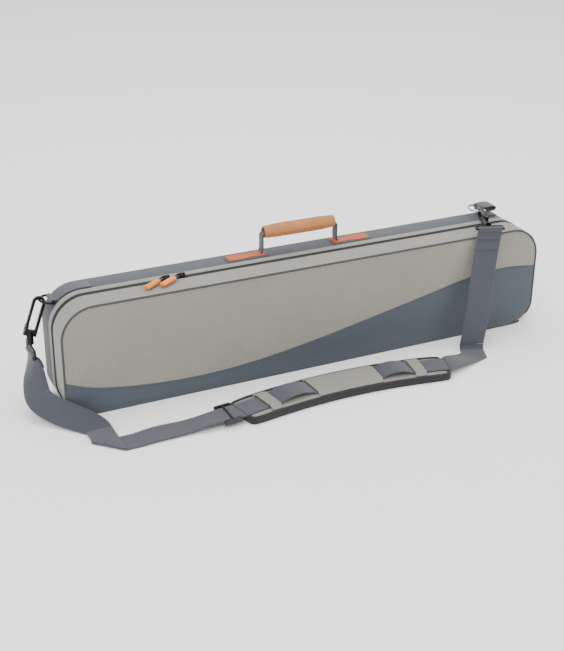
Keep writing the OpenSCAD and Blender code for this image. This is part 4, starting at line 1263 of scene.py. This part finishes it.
# ---------------------------------------------------------------- inside
class RODCASE_OT_interior(bpy.types.Operator):
    """Makes the lining and foam, the rod racks, dividers, retainers and the net pocket inside the lid"""

    bl_idname = "rodcase.interior"
    bl_label = "Inside"

    def execute(self, context):
        m = finishes()
        rows = (
            ("base_foam", "base_wall_foam", "case", "foam", "foam", 0.6),
            ("base_lining", "base_wall_lining", "case", "lining", "lining", 0.25),
            ("lid_foam", "lid_wall_foam", "lid", "foam", "foam", 0.6),
            ("lid_lining", "lid_wall_lining", "lid", "lining", "lining", 0.25),
            ("rod_rack_left", "rack_foam_left", "case", "foam", "foam", 1.2),
            ("rod_rack_right", "rack_foam_right", "case", "foam", "foam", 1.2),
            ("rod_shelf", "shelf_padded", "case", "lining", "lining", 2.2),
            ("reel_dividers", "dividers_padded", "case", "lining", "lining", 2.4),
            ("rod_retainers", "retainer_webbing", "case", "zip_tape", "zip_tape", 0.5),
            ("pocket_binding", "pocket_edge_tape", "lid", "binding", "zip_tape", 0.8),
            ("hinge_tape", "hinge_cloth", None, "slate_lower", "slate_lower", 0.25),
        )
        for node, name, body, material, slot, bevel in rows:
            piece = finish(copy_of(node, name, bevel), body, m[material], node, slot=slot)
            if not body:
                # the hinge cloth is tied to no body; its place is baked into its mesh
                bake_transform(piece)
        low, high = mm_box("mesh_pocket")

        def net(u, v):
            sag = 1.6 * math.sin(math.pi * u) * v
            return low[0] + (high[0] - low[0]) * u, (low[1] + high[1]) / 2 + sag, low[2] + (high[2] - low[2]) * v

        wide, tall = high[0] - low[0], high[2] - low[2]
        piece = surface("pocket_net", int(wide / 5.5), int(tall / 5.5), net, (wide, tall), lambda p: (0, 1, 0))
        apply(piece, "WIREFRAME", thickness=0.9 * MM, use_even_offset=False, use_boundary=True)
        finish(piece, "lid", m["net"], "mesh_pocket", angle=60, slot="zip_tape")
        return {"FINISHED"}


class RODCASE_OT_hardware(bpy.types.Operator):
    """Gives the CAD's metal and plastic fittings their finishes"""

    bl_idname = "rodcase.hardware"
    bl_label = "Hooks, rings and sliders"

    def execute(self, context):
        m = finishes()
        fittings = {
            "black_metal": (
                "hook_left", "gate_left", "hook_right", "gate_right", "swivel_eye_left", "swivel_eye_right",
                "d_ring_left",
            ),
            # the right D ring's light grey is a painted highlight
            "bright_metal": ("d_ring_right",),
            "zip_metal": ("slider_left", "slider_right"),
            "black_plastic": ("tri_glide",),
            "cord": ("pull_cord_left", "pull_cord_right"),
        }
        for key, nodes in fittings.items():
            for node in nodes:
                data = frame["nodes"][node].data
                data.materials.clear()
                data.materials.append(m[key])
        return {"FINISHED"}


# ---------------------------------------------------------------- stage
class RODCASE_OT_stage(bpy.types.Operator):
    """Makes the pale floor, the soft studio light and the camera"""

    bl_idname = "rodcase.stage"
    bl_label = "Stage"

    def execute(self, context):
        rest()
        bpy.ops.mesh.primitive_plane_add(size=1)
        floor = bpy.context.object
        floor.name = floor.data.name = "stage_floor"
        edit(
            floor,
            (bpy.ops.transform.resize, {"value": (14, 14, 1)}),
            (bpy.ops.mesh.subdivide, {"number_cuts": 2}),
        )
        # Seamless paper: matt, with a faint unevenness.
        material, tree, shader = blank("paper_backdrop_matt", 0.95, Specular_IOR_Level=0.1)
        where = add(tree, "TexCoord").outputs["Object"]
        cloud = add(tree, "TexNoise", {"Vector": where, "Scale": 3.0, "Detail": 3.0}).outputs["Fac"]
        shades(tree, shader, linear("#ffffff"), cloud, 0.985, 1.0)
        floor.data.materials.append(material)

        world = bpy.data.worlds.new("studio")
        world.use_nodes = True
        world.node_tree.nodes["Background"].inputs["Color"].default_value = (1, 1, 1, 1)
        world.node_tree.nodes["Background"].inputs["Strength"].default_value = 1.3
        context.scene.world = world
        for name, place, size, power in (
            ("key_softbox", (-1.5, -1.9, 2.2), 1.8, 46),
            ("fill_softbox", (2.2, -1.5, 1.4), 2.0, 18),
            ("top_softbox", (0.1, 0.7, 2.6), 2.2, 44),
        ):
            light = bpy.data.lights.new(name, "AREA")
            light.size, light.energy = size, power
            lamp = bpy.data.objects.new(name, light)
            context.scene.collection.objects.link(lamp)
            lamp.location = place
            lamp.rotation_euler = (Vector((0, 0, 0.08)) - lamp.location).to_track_quat("-Z", "Y").to_euler()

        data = bpy.data.cameras.new("camera")
        camera = bpy.data.objects.new("camera", data)
        context.scene.collection.objects.link(camera)
        camera.location = (-0.7761, -1.5322, 0.8653)
        look = Vector((-0.0387, 0, 0.0573)) - camera.location
        turn = look.to_track_quat("-Z", "Y").to_matrix() @ Matrix.Rotation(math.radians(0.44), 3, "Z")
        camera.rotation_euler = turn.to_euler()
        data.lens, data.sensor_width, data.sensor_fit = 67.2, 36.0, "AUTO"
        context.scene.camera = camera
        return {"FINISHED"}


# ---------------------------------------------------------------- panel
OPERATORS = (
    RODCASE_OT_stage, RODCASE_OT_front, RODCASE_OT_bands, RODCASE_OT_piping, RODCASE_OT_zip, RODCASE_OT_pulls,
    RODCASE_OT_handle, RODCASE_OT_ring_tabs, RODCASE_OT_left_strap, RODCASE_OT_right_strap, RODCASE_OT_pad,
    RODCASE_OT_interior, RODCASE_OT_hardware,
)


class RODCASE_PT_panel(bpy.types.Panel):
    """Lists the case's colours, sizes and pieces"""

    bl_label = "Rod Case"
    bl_idname = "RODCASE_PT_panel"
    bl_space_type = "VIEW_3D"
    bl_region_type = "UI"
    bl_category = "Rod Case"

    def draw(self, context):
        for group in (context.scene.rodcase_colours, context.scene.rodcase_sizes):
            box = self.layout.box()
            for key in group.bl_rna.properties.keys():
                if key not in ("rna_type", "name"):
                    box.prop(group, key)
        for operator in OPERATORS:
            self.layout.operator(operator.bl_idname)


CLASSES = (RodCaseColours, RodCaseSizes, *OPERATORS, RODCASE_PT_panel)


def register():
    for item in CLASSES:
        bpy.utils.register_class(item)
    bpy.types.Scene.rodcase_colours = PointerProperty(type=RodCaseColours)
    bpy.types.Scene.rodcase_sizes = PointerProperty(type=RodCaseSizes)


def unregister():
    del bpy.types.Scene.rodcase_sizes
    del bpy.types.Scene.rodcase_colours
    for item in reversed(CLASSES):
        bpy.utils.unregister_class(item)


def main():
    register()
    for operator in OPERATORS:
        getattr(bpy.ops.rodcase, operator.bl_idname.split(".")[1])()
    rest()


if __name__ == "__main__":
    main()
